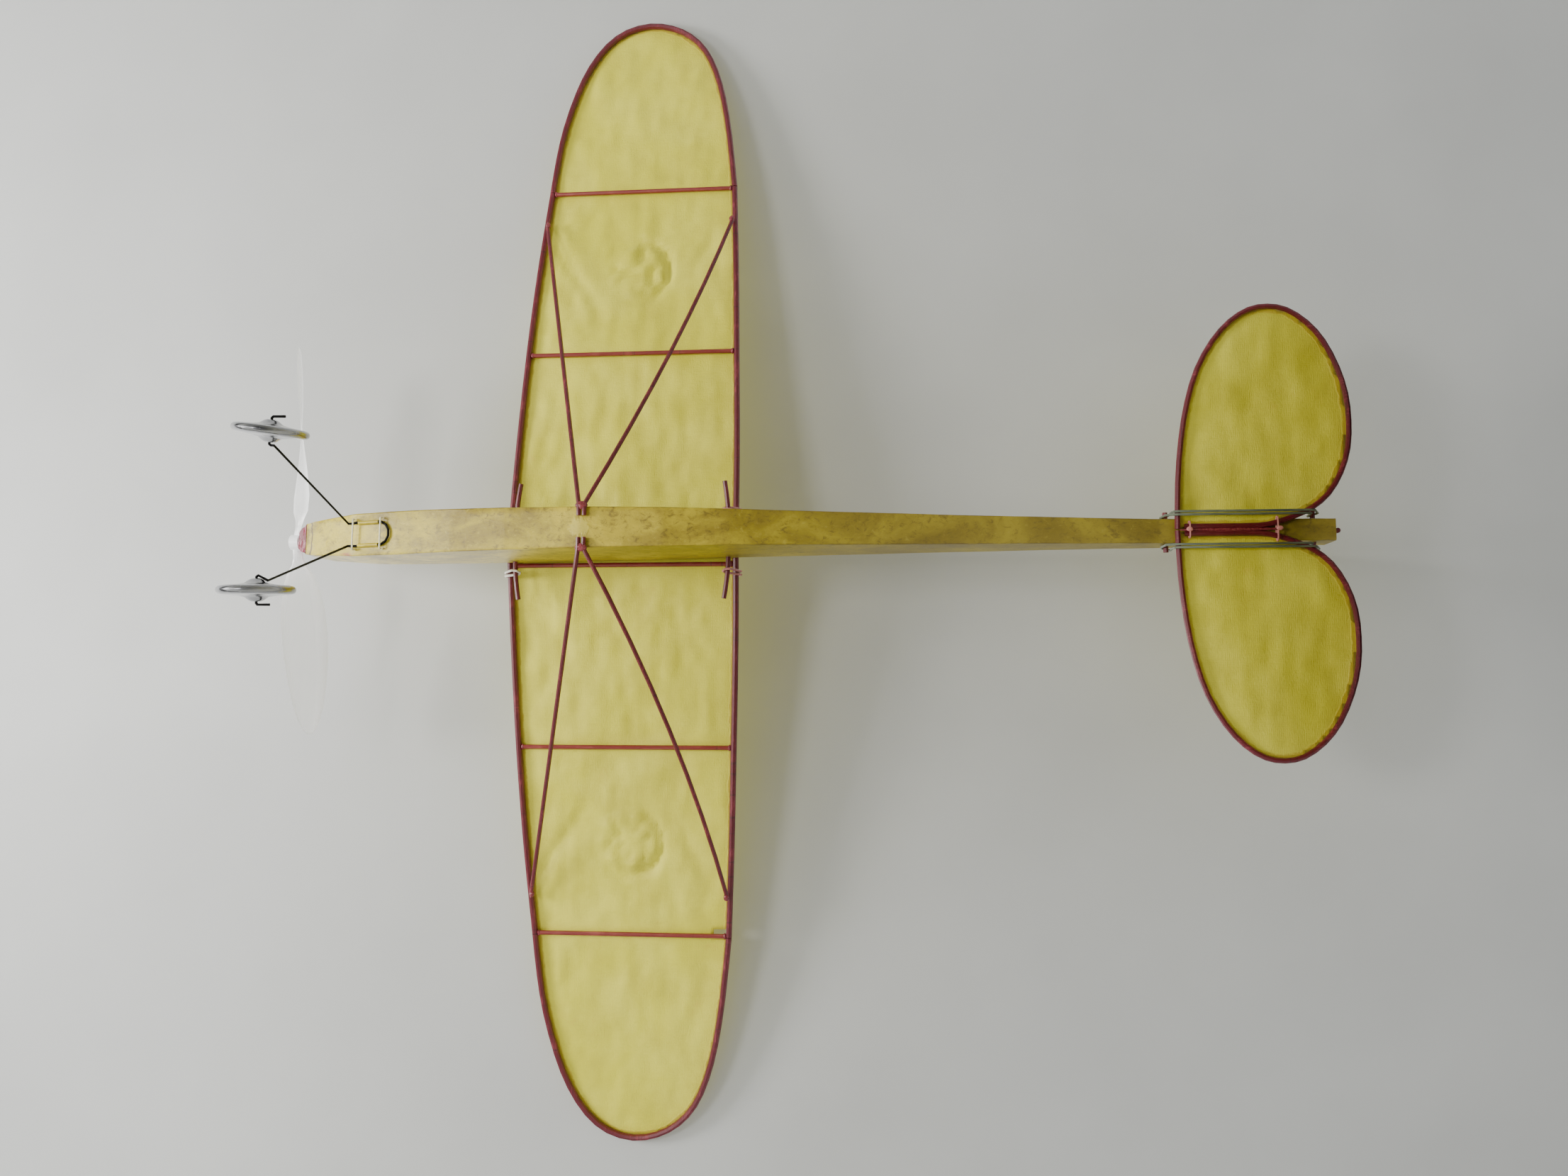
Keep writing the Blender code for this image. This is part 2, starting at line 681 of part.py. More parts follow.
def leg(sign):
    """Points of one half of the wire, from the hook end up to the belly."""
    centre = WHEEL_LEFT if sign > 0 else WHEEL_RIGHT
    a = axle_direction(sign)
    reach = WHEEL_HALF + WIRE_R + 0.6
    tip = centre + a * reach
    hook = tip + Vector((0.0, 4.8, 0.3))
    inner = centre - a * reach
    _, depth = section(GEAR_Y)
    belly = Vector((sign * 4.5, GEAR_Y, -depth - GAP - WIRE_R))
    bend = [tip + Vector((0, 0.5, 0)), tip - a * 0.5]
    corner = KNEE_LEFT if sign > 0 else KNEE_RIGHT
    knee = [inner + a * 0.5, inner + Vector((0, 0.6, 0.2)), corner]
    return [hook] + bend + knee + [belly]


def gear_wire():
    """One bent wire: hook, axle, leg, clip under the belly, leg, axle, hook."""
    left = leg(1)
    right = leg(-1)
    clip = []
    for x, back in ((4.7, 14.6), (4.8, 6.0), (4.5, 3.2), (3.2, 1.1), (1.2, 0.0)):
        y = CLIP_END_Y - back
        _, depth = section(y)
        clip.append(Vector((x, y, -depth - GAP - WIRE_R)))
    back = [Vector((-p.x, p.y, p.z)) for p in reversed(clip)]
    rod("gear_wire", left + clip + back + right[::-1], WIRE_R, wire_black())


def gear_staple(name, y):
    """Light staple across the clip of the gear wire."""
    _, depth = section(y)
    top = -depth - GAP - 0.35
    low = -depth - GAP - 2 * WIRE_R - GAP - 0.4
    line = [(6.1, y, top), (6.1, y, low + 0.3), (5.8, y, low),
            (-5.8, y, low), (-6.1, y, low + 0.3), (-6.1, y, top)]
    rod(name, line, 0.35, material("pale_staple", (0.8, 0.78, 0.6), 0.4))


def wheel(name, sign):
    """Thin silver disc with a bulged hub on both sides, turning on the axle."""
    bore = WIRE_R + RUN_CLEAR
    profile = [
        (bore, WHEEL_HALF), (1.6, WHEEL_HALF), (2.6, WHEEL_HALF - 0.5),
        (3.9, WHEEL_HALF - 1.5), (6.0, 2.05), (8.6, 1.75), (WHEEL_R - 2.2, 1.6),
        (WHEEL_R - 0.8, 1.3), (WHEEL_R - 0.2, 0.75), (WHEEL_R, 0.0),
        (WHEEL_R - 0.2, -0.75), (WHEEL_R - 0.8, -1.3), (WHEEL_R - 2.2, -1.6),
        (8.6, -1.75), (6.0, -2.05), (3.9, 1.5 - WHEEL_HALF), (2.6, 0.5 - WHEEL_HALF),
        (1.6, -WHEEL_HALF), (bore, -WHEEL_HALF),
    ]
    obj = turned(name, profile, material("silver_disc", (0.6, 0.6, 0.62), 0.2, 0.9), 32)
    bake(obj)
    centre = WHEEL_LEFT if sign > 0 else WHEEL_RIGHT
    turn = Vector((0, 0, 1)).rotation_difference(axle_direction(sign)).to_matrix().to_4x4()
    obj.data.transform(Matrix.Translation(centre * MM) @ turn)
    return obj


# ---------------------------------------------------------------- power unit

def blade_rings(sign):
    """Cross-sections of one blade: (share of the radius, chord, thickness)."""
    table = (
        (0.0275, 3.6, 2.2), (0.0812, 3.8, 1.8), (0.119, 5.6, 1.4), (0.1625, 10.0, 1.2),
        (0.2375, 14.6, 1.1), (0.35, 18.4, 1.0), (0.475, 20.8, 0.95), (0.6, 21.2, 0.9),
        (0.725, 19.8, 0.85), (0.8375, 16.8, 0.8), (0.925, 12.4, 0.75), (0.9775, 7.4, 0.7),
        (1.0, 2.6, 0.6),
    )
    rings = []
    for share, chord, thick in table:
        r = share * PROP_R
        lead = 0.5 - BLADE_SWEEP * r / chord
        pitch = math.atan2(BLADE_ADVANCE, max(r, 12.0))
        along = Vector((0.0, -math.sin(pitch), sign * math.cos(pitch)))
        across = Vector((0.0, math.cos(pitch), sign * math.sin(pitch)))
        start = Vector((sign * r, HUB_Y, THRUST_Z))
        ring = []
        for s, h in ((0.0, 0.0), (0.12, 0.7), (0.38, 1.0), (0.7, 0.75),
                     (1.0, 0.0), (0.7, -0.55), (0.38, -0.8), (0.12, -0.6)):
            ring.append(start + along * chord * (lead - s) + across * (thick * 0.5 * h))
        rings.append(ring)
    return rings


def propeller():
    """Two clear blades and a hub in one moulding."""
    clear = material("clear_plastic", (0.85, 0.88, 0.88), 0.08, 0.0, 0.35)
    a = Vector((0, HUB_Y - HUB_HALF, THRUST_Z))
    b = Vector((0, HUB_Y + HUB_HALF, THRUST_Z))
    hub = cylinder("propeller", a, b, HUB_R, PARTS, 28)
    hub.data.materials.append(clear)
    for sign, label in ((1, "a"), (-1, "b")):
        cut(hub, loft("blade_" + label, blade_rings(sign), None, CUTTERS), "UNION")
    bore = cylinder("cut_prop_bore", a - Vector((0, 5, 0)), b + Vector((0, 5, 0)),
                    SHAFT_R + 0.05, CUTTERS, 16)
    cut(hub, bore)
    return bake(hub)


def prop_washer():
    """Thin washer between the hub and the nose block."""
    bore = SHAFT_R + 0.05
    profile = ((bore, WASHER_THICK), (2.0, WASHER_THICK), (2.0, 0.0), (bore, 0.0))
    washer = turned("thrust_washer", profile, material("brass", (0.6, 0.45, 0.15), 0.3, 1.0), 24)
    bake(washer)
    rear = (HUB_Y + HUB_HALF + NOSE_Y + WASHER_THICK) / 2
    washer.data.transform(Matrix.Translation(Vector((0, rear, THRUST_Z)) * MM)
                          @ Matrix.Rotation(math.radians(90), 4, "X"))
    return washer


def prop_shaft():
    """Wire through the bush: lock bend in front, open hook behind."""
    front = HUB_Y - HUB_HALF - GAP - SHAFT_R
    line = [(0, front, THRUST_Z + 2.4), (0, front, THRUST_Z + 0.6), (0, front + 0.5, THRUST_Z),
            (0, HOOK_Y - HOOK_R - 1.4, THRUST_Z)]
    for k in range(1, 11):
        ang = math.radians(180 - k * 29)
        line.append((0, HOOK_Y + HOOK_R * math.cos(ang), THRUST_Z + HOOK_R * math.sin(ang)))
    rod("propeller_shaft", line, SHAFT_R, wire_black())


def rubber_motor():
    """Loop of rubber from the shaft hook to the motor peg, a quarter turn."""
    r = MOTOR_R
    front = HOOK_Y + HOOK_R - SHAFT_R - r - 0.45
    turn_in = [(1.6, front + 1.2, THRUST_Z), (0.9, front + 0.2, THRUST_Z),
               (0.0, front, THRUST_Z), (-0.9, front + 0.2, THRUST_Z),
               (-1.6, front + 1.2, THRUST_Z)]
    peg = DOWEL_R + GAP + r
    low = []
    high = []
    for k in range(1, 9):
        t = k / 9
        y = front + 1.2 + (MOTOR_PEG_Y - front - 1.2) * t
        mid = THRUST_Z + (TAIL_PEG_Z - THRUST_Z) * t
        ang = math.radians(90) * t
        off = 1.6 + (peg - 1.6) * t
        low.append((-off * math.cos(ang), y, mid - off * math.sin(ang)))
        high.append((off * math.cos(ang), y, mid + off * math.sin(ang)))
    bend = []
    for k in range(7):
        ang = math.radians(-90 + k * 30)
        bend.append((0.0, MOTOR_PEG_Y + peg * math.cos(ang), TAIL_PEG_Z + peg * math.sin(ang)))
    line = turn_in + low + bend + high[::-1]
    rod("rubber_motor", line, r, material("tan_rubber", (0.42, 0.27, 0.13), 0.6), ring=True)


# ---------------------------------------------------------------- build

def build():
    """Make every piece in the aeroplane's own frame."""
    fuselage_shell()
    former("former_gear", -50.0, 4.2, -3.4, -13.0)
    former("former_front", 10.0, 4.2, -5.6, -14.0)
    former("former_rear", 84.0, 4.2, -3.4, -14.0)
    former("former_tail", 180.0, 3.4, -3.4, -14.5)
    nose_block()
    shaft_bush()
    tail_plug()
    pegs()
    wing_spars()
    for side, sign in (("left", 1), ("right", -1)):
        wing_tip(side, sign)
        wing_ribs(side, sign)
        wing_tissue(side, sign)
        wing_struts(side, sign)
        stab_loop(side, sign)
        stab_tissue(side, sign)
        tail_band(side, sign)
    wing_band("wing_band_front", FRONT_PEG_Y, LEADING, -1.0,
              material("band_white", (0.75, 0.72, 0.66), 0.6))
    wing_band("wing_band_rear", REAR_PEG_Y, TRAILING, 1.0,
              material("band_pink", (0.62, 0.38, 0.36), 0.6))
    lashing("lashing_front", 274.0, 3.1)
    lashing("lashing_rear", 306.5, 4.6)
    fin()
    gear_wire()
    gear_staple("gear_staple_front", GEAR_Y + 2.8)
    gear_staple("gear_staple_rear", CLIP_END_Y - 3.2)
    wheel("wheel_left", 1)
    wheel("wheel_right", -1)
    propeller()
    prop_washer()
    prop_shaft()
    rubber_motor()


def ground_matrix():
    """Pitch the model until the wheels and the tail stand on one floor."""
    wheel_y = (WHEEL_LEFT.y + WHEEL_RIGHT.y) / 2
    run = STAB_REAR_Y - wheel_y
    rise = STAB_Z - WHEEL_LEFT.z
    pitch = math.atan2(rise, run) + math.asin((WHEEL_R - ROD_TAIL) / math.hypot(run, rise))
    return Matrix.Rotation(-pitch, 4, "X")


def stand_on_floor():
    """Turn all pieces, then centre the bounding box on the origin, floor at 0."""
    turn = ground_matrix()
    for obj in PARTS.objects:
        obj.data.transform(turn)
    low = Vector((1e9, 1e9, 1e9))
    high = -low
    for obj in PARTS.objects:
        for v in obj.data.vertices:
            for i in range(3):
                low[i] = min(low[i], v.co[i])
                high[i] = max(high[i], v.co[i])
    shift = Vector((0.0, -(low.y + high.y) / 2, -low.z))
    for obj in PARTS.objects:
        obj.data.transform(Matrix.Translation(shift))
    return Matrix.Translation(shift) @ turn


def set_origin(name, point, place):
    """Move a turning piece's origin onto its axis."""
    obj = bpy.data.objects[name]
    pivot = place @ (Vector(point) * MM)
    obj.data.transform(Matrix.Translation(-pivot))
    obj.location = pivot


build()
PLACE = stand_on_floor()
set_origin("wheel_left", WHEEL_LEFT, PLACE)
set_origin("wheel_right", WHEEL_RIGHT, PLACE)
for piece in ("propeller", "propeller_shaft", "thrust_washer"):
    set_origin(piece, (0.0, HUB_Y, THRUST_Z), PLACE)
print("place", [[round(v, 6) for v in row] for row in PLACE])
print("nodes", len(PARTS.objects))
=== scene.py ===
# %% [markdown]
# A rubber-driven model aeroplane of bamboo sticks, tissue paper and card.
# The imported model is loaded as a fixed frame. Everything below gives it its finishes and its soft and
# hand-made pieces. Nothing here moves or resizes a part of the frame.

# %% Load the frame
import math
import bmesh
import bpy
from mathutils import Matrix, Vector, kdtree, noise


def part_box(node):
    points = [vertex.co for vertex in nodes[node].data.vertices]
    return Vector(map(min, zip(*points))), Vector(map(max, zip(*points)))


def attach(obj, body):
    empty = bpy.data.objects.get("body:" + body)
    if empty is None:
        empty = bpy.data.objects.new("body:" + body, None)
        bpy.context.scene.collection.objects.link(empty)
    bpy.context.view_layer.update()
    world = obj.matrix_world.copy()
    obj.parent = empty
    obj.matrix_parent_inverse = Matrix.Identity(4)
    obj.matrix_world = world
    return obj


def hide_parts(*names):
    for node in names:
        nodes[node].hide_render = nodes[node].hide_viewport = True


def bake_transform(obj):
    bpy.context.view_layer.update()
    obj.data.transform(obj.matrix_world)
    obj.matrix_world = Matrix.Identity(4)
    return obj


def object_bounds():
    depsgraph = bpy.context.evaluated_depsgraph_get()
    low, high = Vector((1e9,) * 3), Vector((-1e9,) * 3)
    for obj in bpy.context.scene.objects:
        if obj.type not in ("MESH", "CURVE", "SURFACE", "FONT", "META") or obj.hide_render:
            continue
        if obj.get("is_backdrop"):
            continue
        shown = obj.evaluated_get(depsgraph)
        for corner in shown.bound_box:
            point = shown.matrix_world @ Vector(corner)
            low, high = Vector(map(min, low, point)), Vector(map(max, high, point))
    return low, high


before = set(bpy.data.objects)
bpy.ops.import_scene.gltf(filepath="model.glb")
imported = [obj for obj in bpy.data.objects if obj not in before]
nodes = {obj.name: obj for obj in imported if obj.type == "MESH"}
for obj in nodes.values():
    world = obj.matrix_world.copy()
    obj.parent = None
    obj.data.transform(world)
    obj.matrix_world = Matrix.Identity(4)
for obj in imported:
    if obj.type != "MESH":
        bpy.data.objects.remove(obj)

cad_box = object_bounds()

# %% [markdown]
# The aeroplane stands on its wheels and tail, so its own axes lean in the frame. It is easiest to work
# on those axes, in millimetres, with the nose towards -Y and the top of the fuselage at height zero.
# Two dowels through the tail are level with each other, so the line between them gives the lean.

# %% The aeroplane's own axes
MM = 0.001
TAIL_DOWEL = Vector((0.0, 322.0, -9.6))


def middle(name):
    low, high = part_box(name)
    return (low + high) / 2


along = (middle("tail_peg") - middle("motor_peg")).normalized()
lean = Matrix.Rotation(math.atan2(along.z, along.y), 4, "X")
place = Matrix.Translation(middle("tail_peg") - lean @ (TAIL_DOWEL * MM)) @ lean
place_mm = place @ Matrix.Diagonal((MM, MM, MM, 1.0))
home_mm = place_mm.inverted()


def own(name):
    """Middle of a node on the aeroplane's own axes, in millimetres."""
    return home_mm @ middle(name)


print("lean in degrees", round(math.degrees(math.atan2(along.z, along.y)), 2))

# %% [markdown]
# The camera looks up at the underside from a hand's reach, turned so that the nose points left.

# %% Camera
CAMERA_AT = Vector((-69.2, 161.8, -475.7))
CAMERA_RIGHT = Vector((0.0031, 0.9955, 0.0945))
CAMERA_UP = Vector((0.9947, 0.0066, -0.1029))
FOCAL_LENGTH = 27.03
SENSOR_WIDTH = 36.0

lens = bpy.data.cameras.new("camera")
lens.lens = FOCAL_LENGTH
lens.sensor_width = SENSOR_WIDTH
lens.clip_start = 0.01
camera = bpy.data.objects.new("camera", lens)
bpy.context.scene.collection.objects.link(camera)
right = CAMERA_RIGHT.normalized()
up = (CAMERA_UP - right * CAMERA_UP.dot(right)).normalized()
turned = Matrix((right, up, right.cross(up))).transposed().to_4x4()
camera.matrix_world = place @ Matrix.Translation(CAMERA_AT * MM) @ turned
bpy.context.scene.camera = camera
print("camera at", [round(v, 3) for v in camera.matrix_world.translation])

# %% [markdown]
# Every finish is a small network of nodes. Written out one node at a time, shader maths is hard to
# read. Here a signal is wrapped in a class whose plus, minus and times add the Math nodes, so that a
# mask can be written the way it is thought of.

# %% A signal that does sums
class Signal:
    """One value, colour or vector that runs through a finish."""

    def __init__(self, finish, socket):
        self.finish = finish
        self.socket = socket

    def sum(self, operation, first, second):
        return self.finish.node("ShaderNodeMath", {"operation": operation}, {0: first, 1: second})

    def __add__(self, other):
        return self.sum("ADD", self, other)

    def __sub__(self, other):
        return self.sum("SUBTRACT", self, other)

    def __rsub__(self, other):
        return self.sum("SUBTRACT", other, self)

    def __mul__(self, other):
        return self.sum("MULTIPLY", self, other)

    def __truediv__(self, other):
        return self.sum("DIVIDE", self, other)

    def __abs__(self):
        return self.sum("ABSOLUTE", self, 0.0)

    __radd__ = __add__
    __rmul__ = __mul__


# %% A finish and its nodes
class Finish:
    """A material with one Principled shader, and the nodes that feed it."""

    def __init__(self, name, **constants):
        self.material = bpy.data.materials.new(name)
        self.material.use_nodes = True
        self.tree = self.material.node_tree
        self.tree.nodes.clear()
        self.shader = self.tree.nodes.new("ShaderNodeBsdfPrincipled")
        self.output = self.tree.nodes.new("ShaderNodeOutputMaterial")
        self.tree.links.new(self.shader.outputs[0], self.output.inputs[0])
        for key, value in constants.items():
            socket = key.replace("_", " ").title().replace("Ior", "IOR")
            self.shader.inputs[socket].default_value = value
        where = self.node("ShaderNodeTexCoord", {}, {}, 3)
        back = home_mm.decompose()
        self.mm = self.node("ShaderNodeMapping", {}, {
            "Vector": where, "Location": back[0], "Rotation": back[1].to_euler(), "Scale": back[2]})

    def node(self, kind, settings=None, inputs=None, output=0):
        made = self.tree.nodes.new(kind)
        for key, value in (settings or {}).items():
            if key == "stops":
                self.set_stops(made.color_ramp, value)
            else:
                setattr(made, key, value)
        for key, value in (inputs or {}).items():
            if isinstance(value, Signal):
                self.tree.links.new(value.socket, made.inputs[key])
            else:
                made.inputs[key].default_value = value
        return Signal(self, made.outputs[output])

    def set_stops(self, ramp, stops):
        while len(ramp.elements) < len(stops):
            ramp.elements.new(1.0)
        for element, (position, colour) in zip(ramp.elements, stops):
            element.position = position
            element.color = colour

    def feed(self, **signals):
        for key, value in signals.items():
            self.tree.links.new(value.socket, self.shader.inputs[key.replace("_", " ").title()])

    def grain(self, size, detail=3.0, stretch=(1, 1, 1), rough=0.5, warp=0.0):
        """Noise from 0 to 1 whose spots are about size millimetres across."""
        scale = [1.0 / (size * s) for s in stretch]
        spot = self.node("ShaderNodeMapping", {}, {"Vector": self.mm, "Scale": scale})
        return self.node("ShaderNodeTexNoise", {}, {
            "Vector": spot, "Scale": 1.0, "Detail": detail, "Roughness": rough, "Distortion": warp})

    def step(self, signal, low, high):
        """0 below low, 1 above high, smooth between."""
        return self.node("ShaderNodeMapRange", {"interpolation_type": "SMOOTHSTEP"},
                         {0: signal, 1: low, 2: high})

    def mix(self, share, first, second):
        """A colour between two others."""
        return self.node("ShaderNodeMix", {"data_type": "RGBA"}, {0: share, 6: first, 7: second}, 2)

    def axis(self, which):
        return self.node("ShaderNodeSeparateXYZ", {}, {0: self.mm}, "XYZ".index(which))

    def bump(self, height, depth, strength=1.0):
        """Small relief, depth in millimetres."""
        return self.node("ShaderNodeBump", {}, {
            "Height": height, "Distance": depth * MM, "Strength": strength})


def dye(red, green, blue):
    """A colour given on the usual 0 to 255 scale, made linear."""
    out = []
    for part in (red, green, blue):
        part = part / 255
        out.append(part / 12.92 if part <= 0.04045 else ((part + 0.055) / 1.055) ** 2.4)
    return (*out, 1.0)

# %% [markdown]
# The sticks are split bamboo, dyed crimson and rubbed with a little varnish. The dye sinks in along
# the fibres, so the colour runs in long streaks, and the joints of the cane show as darker rings. Pink
# streaks are painted in, partly for rubbed spots and partly as a painted sheen where the varnish
# catches the light. The streaks follow each stick, so the finish is made once for each direction.

# %% Dyed bamboo
LONG = {"x": (26, 1, 1), "y": (1, 26, 1), "z": (1, 1, 26)}


def dyed_bamboo(name, way, deep, worn, gloss=0.38):
    finish = Finish(name, coat_weight=0.25, coat_roughness=0.3)
    streaks = finish.grain(0.55, 4.0, LONG[way], 0.6)
    blotches = finish.grain(9.0, 3.0, warp=0.6)
    # Pink streaks: partly rubbed spots, partly a painted sheen of the varnish.
    rubbed_and_sheen = finish.step(streaks * 0.6 + blotches * 0.5, 0.55, 0.74)
    rings = finish.step(finish.grain(3.0, 1.0, [0.4 if s > 1 else 9 for s in LONG[way]]), 0.68, 0.75)
    colour = finish.mix(rubbed_and_sheen * 0.5, dye(*deep), dye(*worn))
    colour = finish.mix(rings * 0.55, colour, dye(*[part * 0.45 for part in deep]))
    finish.feed(base_color=colour, roughness=streaks * 0.25 + (gloss - 0.1),
                normal=finish.bump(streaks, 0.12, 0.5))
    return finish.material


# The second colour of each pair is the pink of rubbed spots and of a painted sheen.
CRIMSON = ((98, 8, 30), (166, 64, 78))
RUSSET = ((128, 36, 34), (178, 92, 82))
crimson = {way: dyed_bamboo("crimson_bamboo_" + way, way, *CRIMSON) for way in "xyz"}
russet = {way: dyed_bamboo("russet_bamboo_" + way, way, *RUSSET) for way in "xy"}
print("bamboo finishes", len(crimson) + len(russet))

# %% [markdown]
# Yellow tissue is doped so that it goes tight and a little shiny. It shows its fibres, fine laid
# lines, and a cloudy uneven dye. Where the paper is lapped round a stick and glued it
# is double, and looks darker. How far a point is from the edge is stored on the sheet itself, so the
# lap follows the outline wherever it goes.

# %% Doped tissue
LAP_STARTS, LAP_ENDS = 0.5, 1.2


def doped_tissue():
    finish = Finish("doped_tissue", sheen_weight=0.15, coat_weight=0.08, coat_roughness=0.45)
    cloud = finish.grain(34.0, 4.0, rough=0.55, warp=0.4)
    fibre = finish.grain(0.6, 4.0, (2.2, 0.8, 1.0), 0.6, 0.5)
    crossed = finish.grain(0.9, 4.0, (0.6, 5.0, 1.0), 0.6, 0.8)
    laid = finish.node("ShaderNodeTexWave", {"bands_direction": "Y"}, {
        "Vector": finish.mm, "Scale": 0.42, "Distortion": 1.4, "Detail": 2.0, "Detail Scale": 0.3})
    edge = finish.node("ShaderNodeAttribute", {"attribute_name": "edge"}, {}, 2)
    ragged = finish.grain(5.0, 4.0, rough=0.65)
    lap = 1 - finish.step(edge - ragged * 2.6, LAP_STARTS, LAP_ENDS)
    paper = finish.mix(finish.step(cloud, 0.3, 0.7), dye(228, 222, 52), dye(242, 236, 86))
    paper = finish.mix((fibre + crossed) * 0.3, paper, dye(200, 190, 48))
    uneven = finish.step(finish.grain(15.0, 4.0, rough=0.55), 0.35, 0.75)
    paper = finish.mix(uneven * 0.5, paper, dye(200, 190, 46))
    stain = finish.step(finish.grain(22.0, 5.0, rough=0.7), 0.62, 0.8)
    paper = finish.mix(stain * 0.35, paper, dye(212, 172, 60))
    paper = finish.mix(lap * 0.6, paper, dye(190, 160, 30))
    relief = fibre * 0.5 + crossed * 0.4 + laid * 0.05 + lap * 0.5
    finish.feed(base_color=paper, roughness=cloud * 0.2 + 0.5, normal=finish.bump(relief, 0.34, 0.9))
    return finish.material


tissue = doped_tissue()
print("finish", tissue.name)

# %% [markdown]
# The fuselage is thin card under the same yellow paper, lacquered until it turned ochre and brown in
# patches. At the nose the paper is wrinkled, a dark line marks its first lap, red paint from the nose
# plug has run along the right flank, and a pale patch of old glue sits between the strut feet. Towards
# the tail the card is darkened as painted shade, where the light falls off.

# %% Lacquered card
GLUE_AT = (0.0, 41.7, -41.3)
NOSE_LAP_Y = -76.6
RED_RUN_Y = -62.0


def lacquered_card():
    finish = Finish("lacquered_card", coat_weight=0.2, coat_roughness=0.35)
    x, y, z = [finish.axis(which) for which in "XYZ"]
    patches = finish.grain(16.0, 5.0, (1, 1.8, 1), 0.62, 0.7)
    specks = finish.grain(2.2, 6.0, (1, 1.5, 1), 0.75, 0.5)
    fibre = finish.grain(0.8, 4.0, (1, 6, 1), 0.6)
    nose = 1 - finish.step(y, -70.0, -20.0)
    ochre = finish.mix(finish.step(patches, 0.32, 0.68), dye(148, 128, 18), dye(206, 186, 42))
    ochre = finish.mix(finish.step(specks, 0.5, 0.68) * 0.75, ochre, dye(104, 84, 22))
    ochre = finish.mix(finish.step(1 - specks, 0.56, 0.7) * 0.4, ochre, dye(226, 208, 84))
    ochre = finish.mix(nose * finish.step(finish.grain(7.0, 5.0, rough=0.7), 0.4, 0.6) * 0.65,
                       ochre, dye(220, 200, 44))
    # Painted shade: the card darkens towards the tail, where the light falls off.
    ochre = finish.mix(finish.step(y, 30.0, 190.0) * 0.5, ochre, dye(102, 86, 30))
    line = 1 - finish.step(abs(y - NOSE_LAP_Y + (patches - 0.5) * 7.0), 0.15, 0.55)
    fold = finish.node("ShaderNodeAttribute", {"attribute_name": "edge"}, {}, 2)
    # The card is made darker along its four folds, in grained streaks.
    worn = fold * finish.step(finish.grain(6.0, 5.0, (1, 2.5, 1), 0.7), 0.42, 0.6)
    ochre = finish.mix(line * 0.8 + worn * 0.6, ochre, dye(72, 50, 18))
    away = finish.node("ShaderNodeVectorMath", {"operation": "DISTANCE"}, {
        0: finish.mm, 1: GLUE_AT}, 1)
    dents = finish.grain(5.0, 4.0, rough=0.6, warp=1.0)
    glue = 1 - finish.step(away + (dents - 0.5) * 9.0, 2.4, 4.6)
    ochre = finish.mix(glue * 0.5, ochre, dye(220, 204, 84))
    on_flank = finish.step(x * -1.0, 6.6, 7.4)
    near_run = 1 - finish.step(abs(y - RED_RUN_Y) + specks * 5, 7.0, 10.5)
    below = 1 - finish.step(z + 27.0 + specks * 3 + (y - RED_RUN_Y) * 0.24, 3.0, 4.5)
    ochre = finish.mix(on_flank * near_run * below * 0.85, ochre, dye(168, 62, 82))
    relief = fibre * 0.25 + specks * 0.3 + dents * (nose * 1.6 + 0.5) + glue * 0.6
    finish.feed(base_color=ochre, roughness=patches * 0.25 + 0.36 - glue * 0.1,
                normal=finish.bump(relief, 0.35, 0.7))
    return finish.material


card = lacquered_card()
print("finish", card.name)

# %% [markdown]
# The nose plug is carved balsa under brushed crimson enamel: wet looking, lumpy, and paler where the
# brush left it thin.

# %% Brushed enamel
def brushed_enamel():
    finish = Finish("brushed_enamel", coat_weight=0.7, coat_roughness=0.12)
    lumps = finish.grain(2.6, 4.0, rough=0.6, warp=1.4)
    thin = finish.step(finish.grain(3.4, 4.0, rough=0.65), 0.46, 0.66)
    colour = finish.mix(thin * 0.7, dye(126, 8, 42), dye(184, 58, 100))
    finish.feed(base_color=colour, roughness=lumps * 0.2 + 0.2, normal=finish.bump(lumps, 0.5, 0.9))
    return finish.material


enamel = brushed_enamel()
print("finish", enamel.name)

# %% [markdown]
# The metal is of three kinds. The wheels are pressed and plated, with a bright skin that is cloudy in
# places. The gear is black oxide spring wire. The bush and the washer are turned brass.

# %% Metals
def plated():
    finish = Finish("plated_disc", metallic=1.0)
    cloud = finish.grain(4.5, 4.0, rough=0.6)
    scuffs = finish.step(finish.grain(0.7, 3.0, (6, 1, 1), 0.7), 0.62, 0.7)
    colour = finish.mix(cloud, dye(142, 143, 147), dye(186, 186, 189))
    finish.feed(base_color=colour, roughness=cloud * 0.14 + 0.12 + scuffs * 0.2,
                normal=finish.bump(cloud + scuffs * 0.3, 0.15, 0.35))
    return finish.material


def oxide_wire():
    finish = Finish("oxide_wire", specular_ior_level=0.1)
    worn = finish.step(finish.grain(1.4, 4.0, rough=0.65), 0.58, 0.75)
    colour = finish.mix(worn * 0.5, dye(8, 7, 7), dye(44, 34, 28))
    finish.feed(base_color=colour, roughness=worn * 0.2 + 0.42, metallic=worn * 0.2,
                normal=finish.bump(finish.grain(0.4), 0.05, 0.5))
    return finish.material


def turned_brass():
    finish = Finish("turned_brass", metallic=1.0)
    tarnish = finish.grain(1.6, 4.0, rough=0.6)
    finish.feed(base_color=finish.mix(tarnish, dye(206, 164, 84), dye(150, 112, 56)),
                roughness=tarnish * 0.25 + 0.2)
    return finish.material


silver, wire, brass = plated(), oxide_wire(), turned_brass()
print("metals", silver.name, wire.name, brass.name)

# %% [markdown]
# The propeller is one thin clear moulding. On a pale ground it almost vanishes: the blades are a faint
# milky veil, and only their rims and the hub are thick enough to look white. So it is see-through by
# its alpha, and a value stored along the rims makes them denser. A little light of its own stands for
# the light that such a moulding carries along inside.

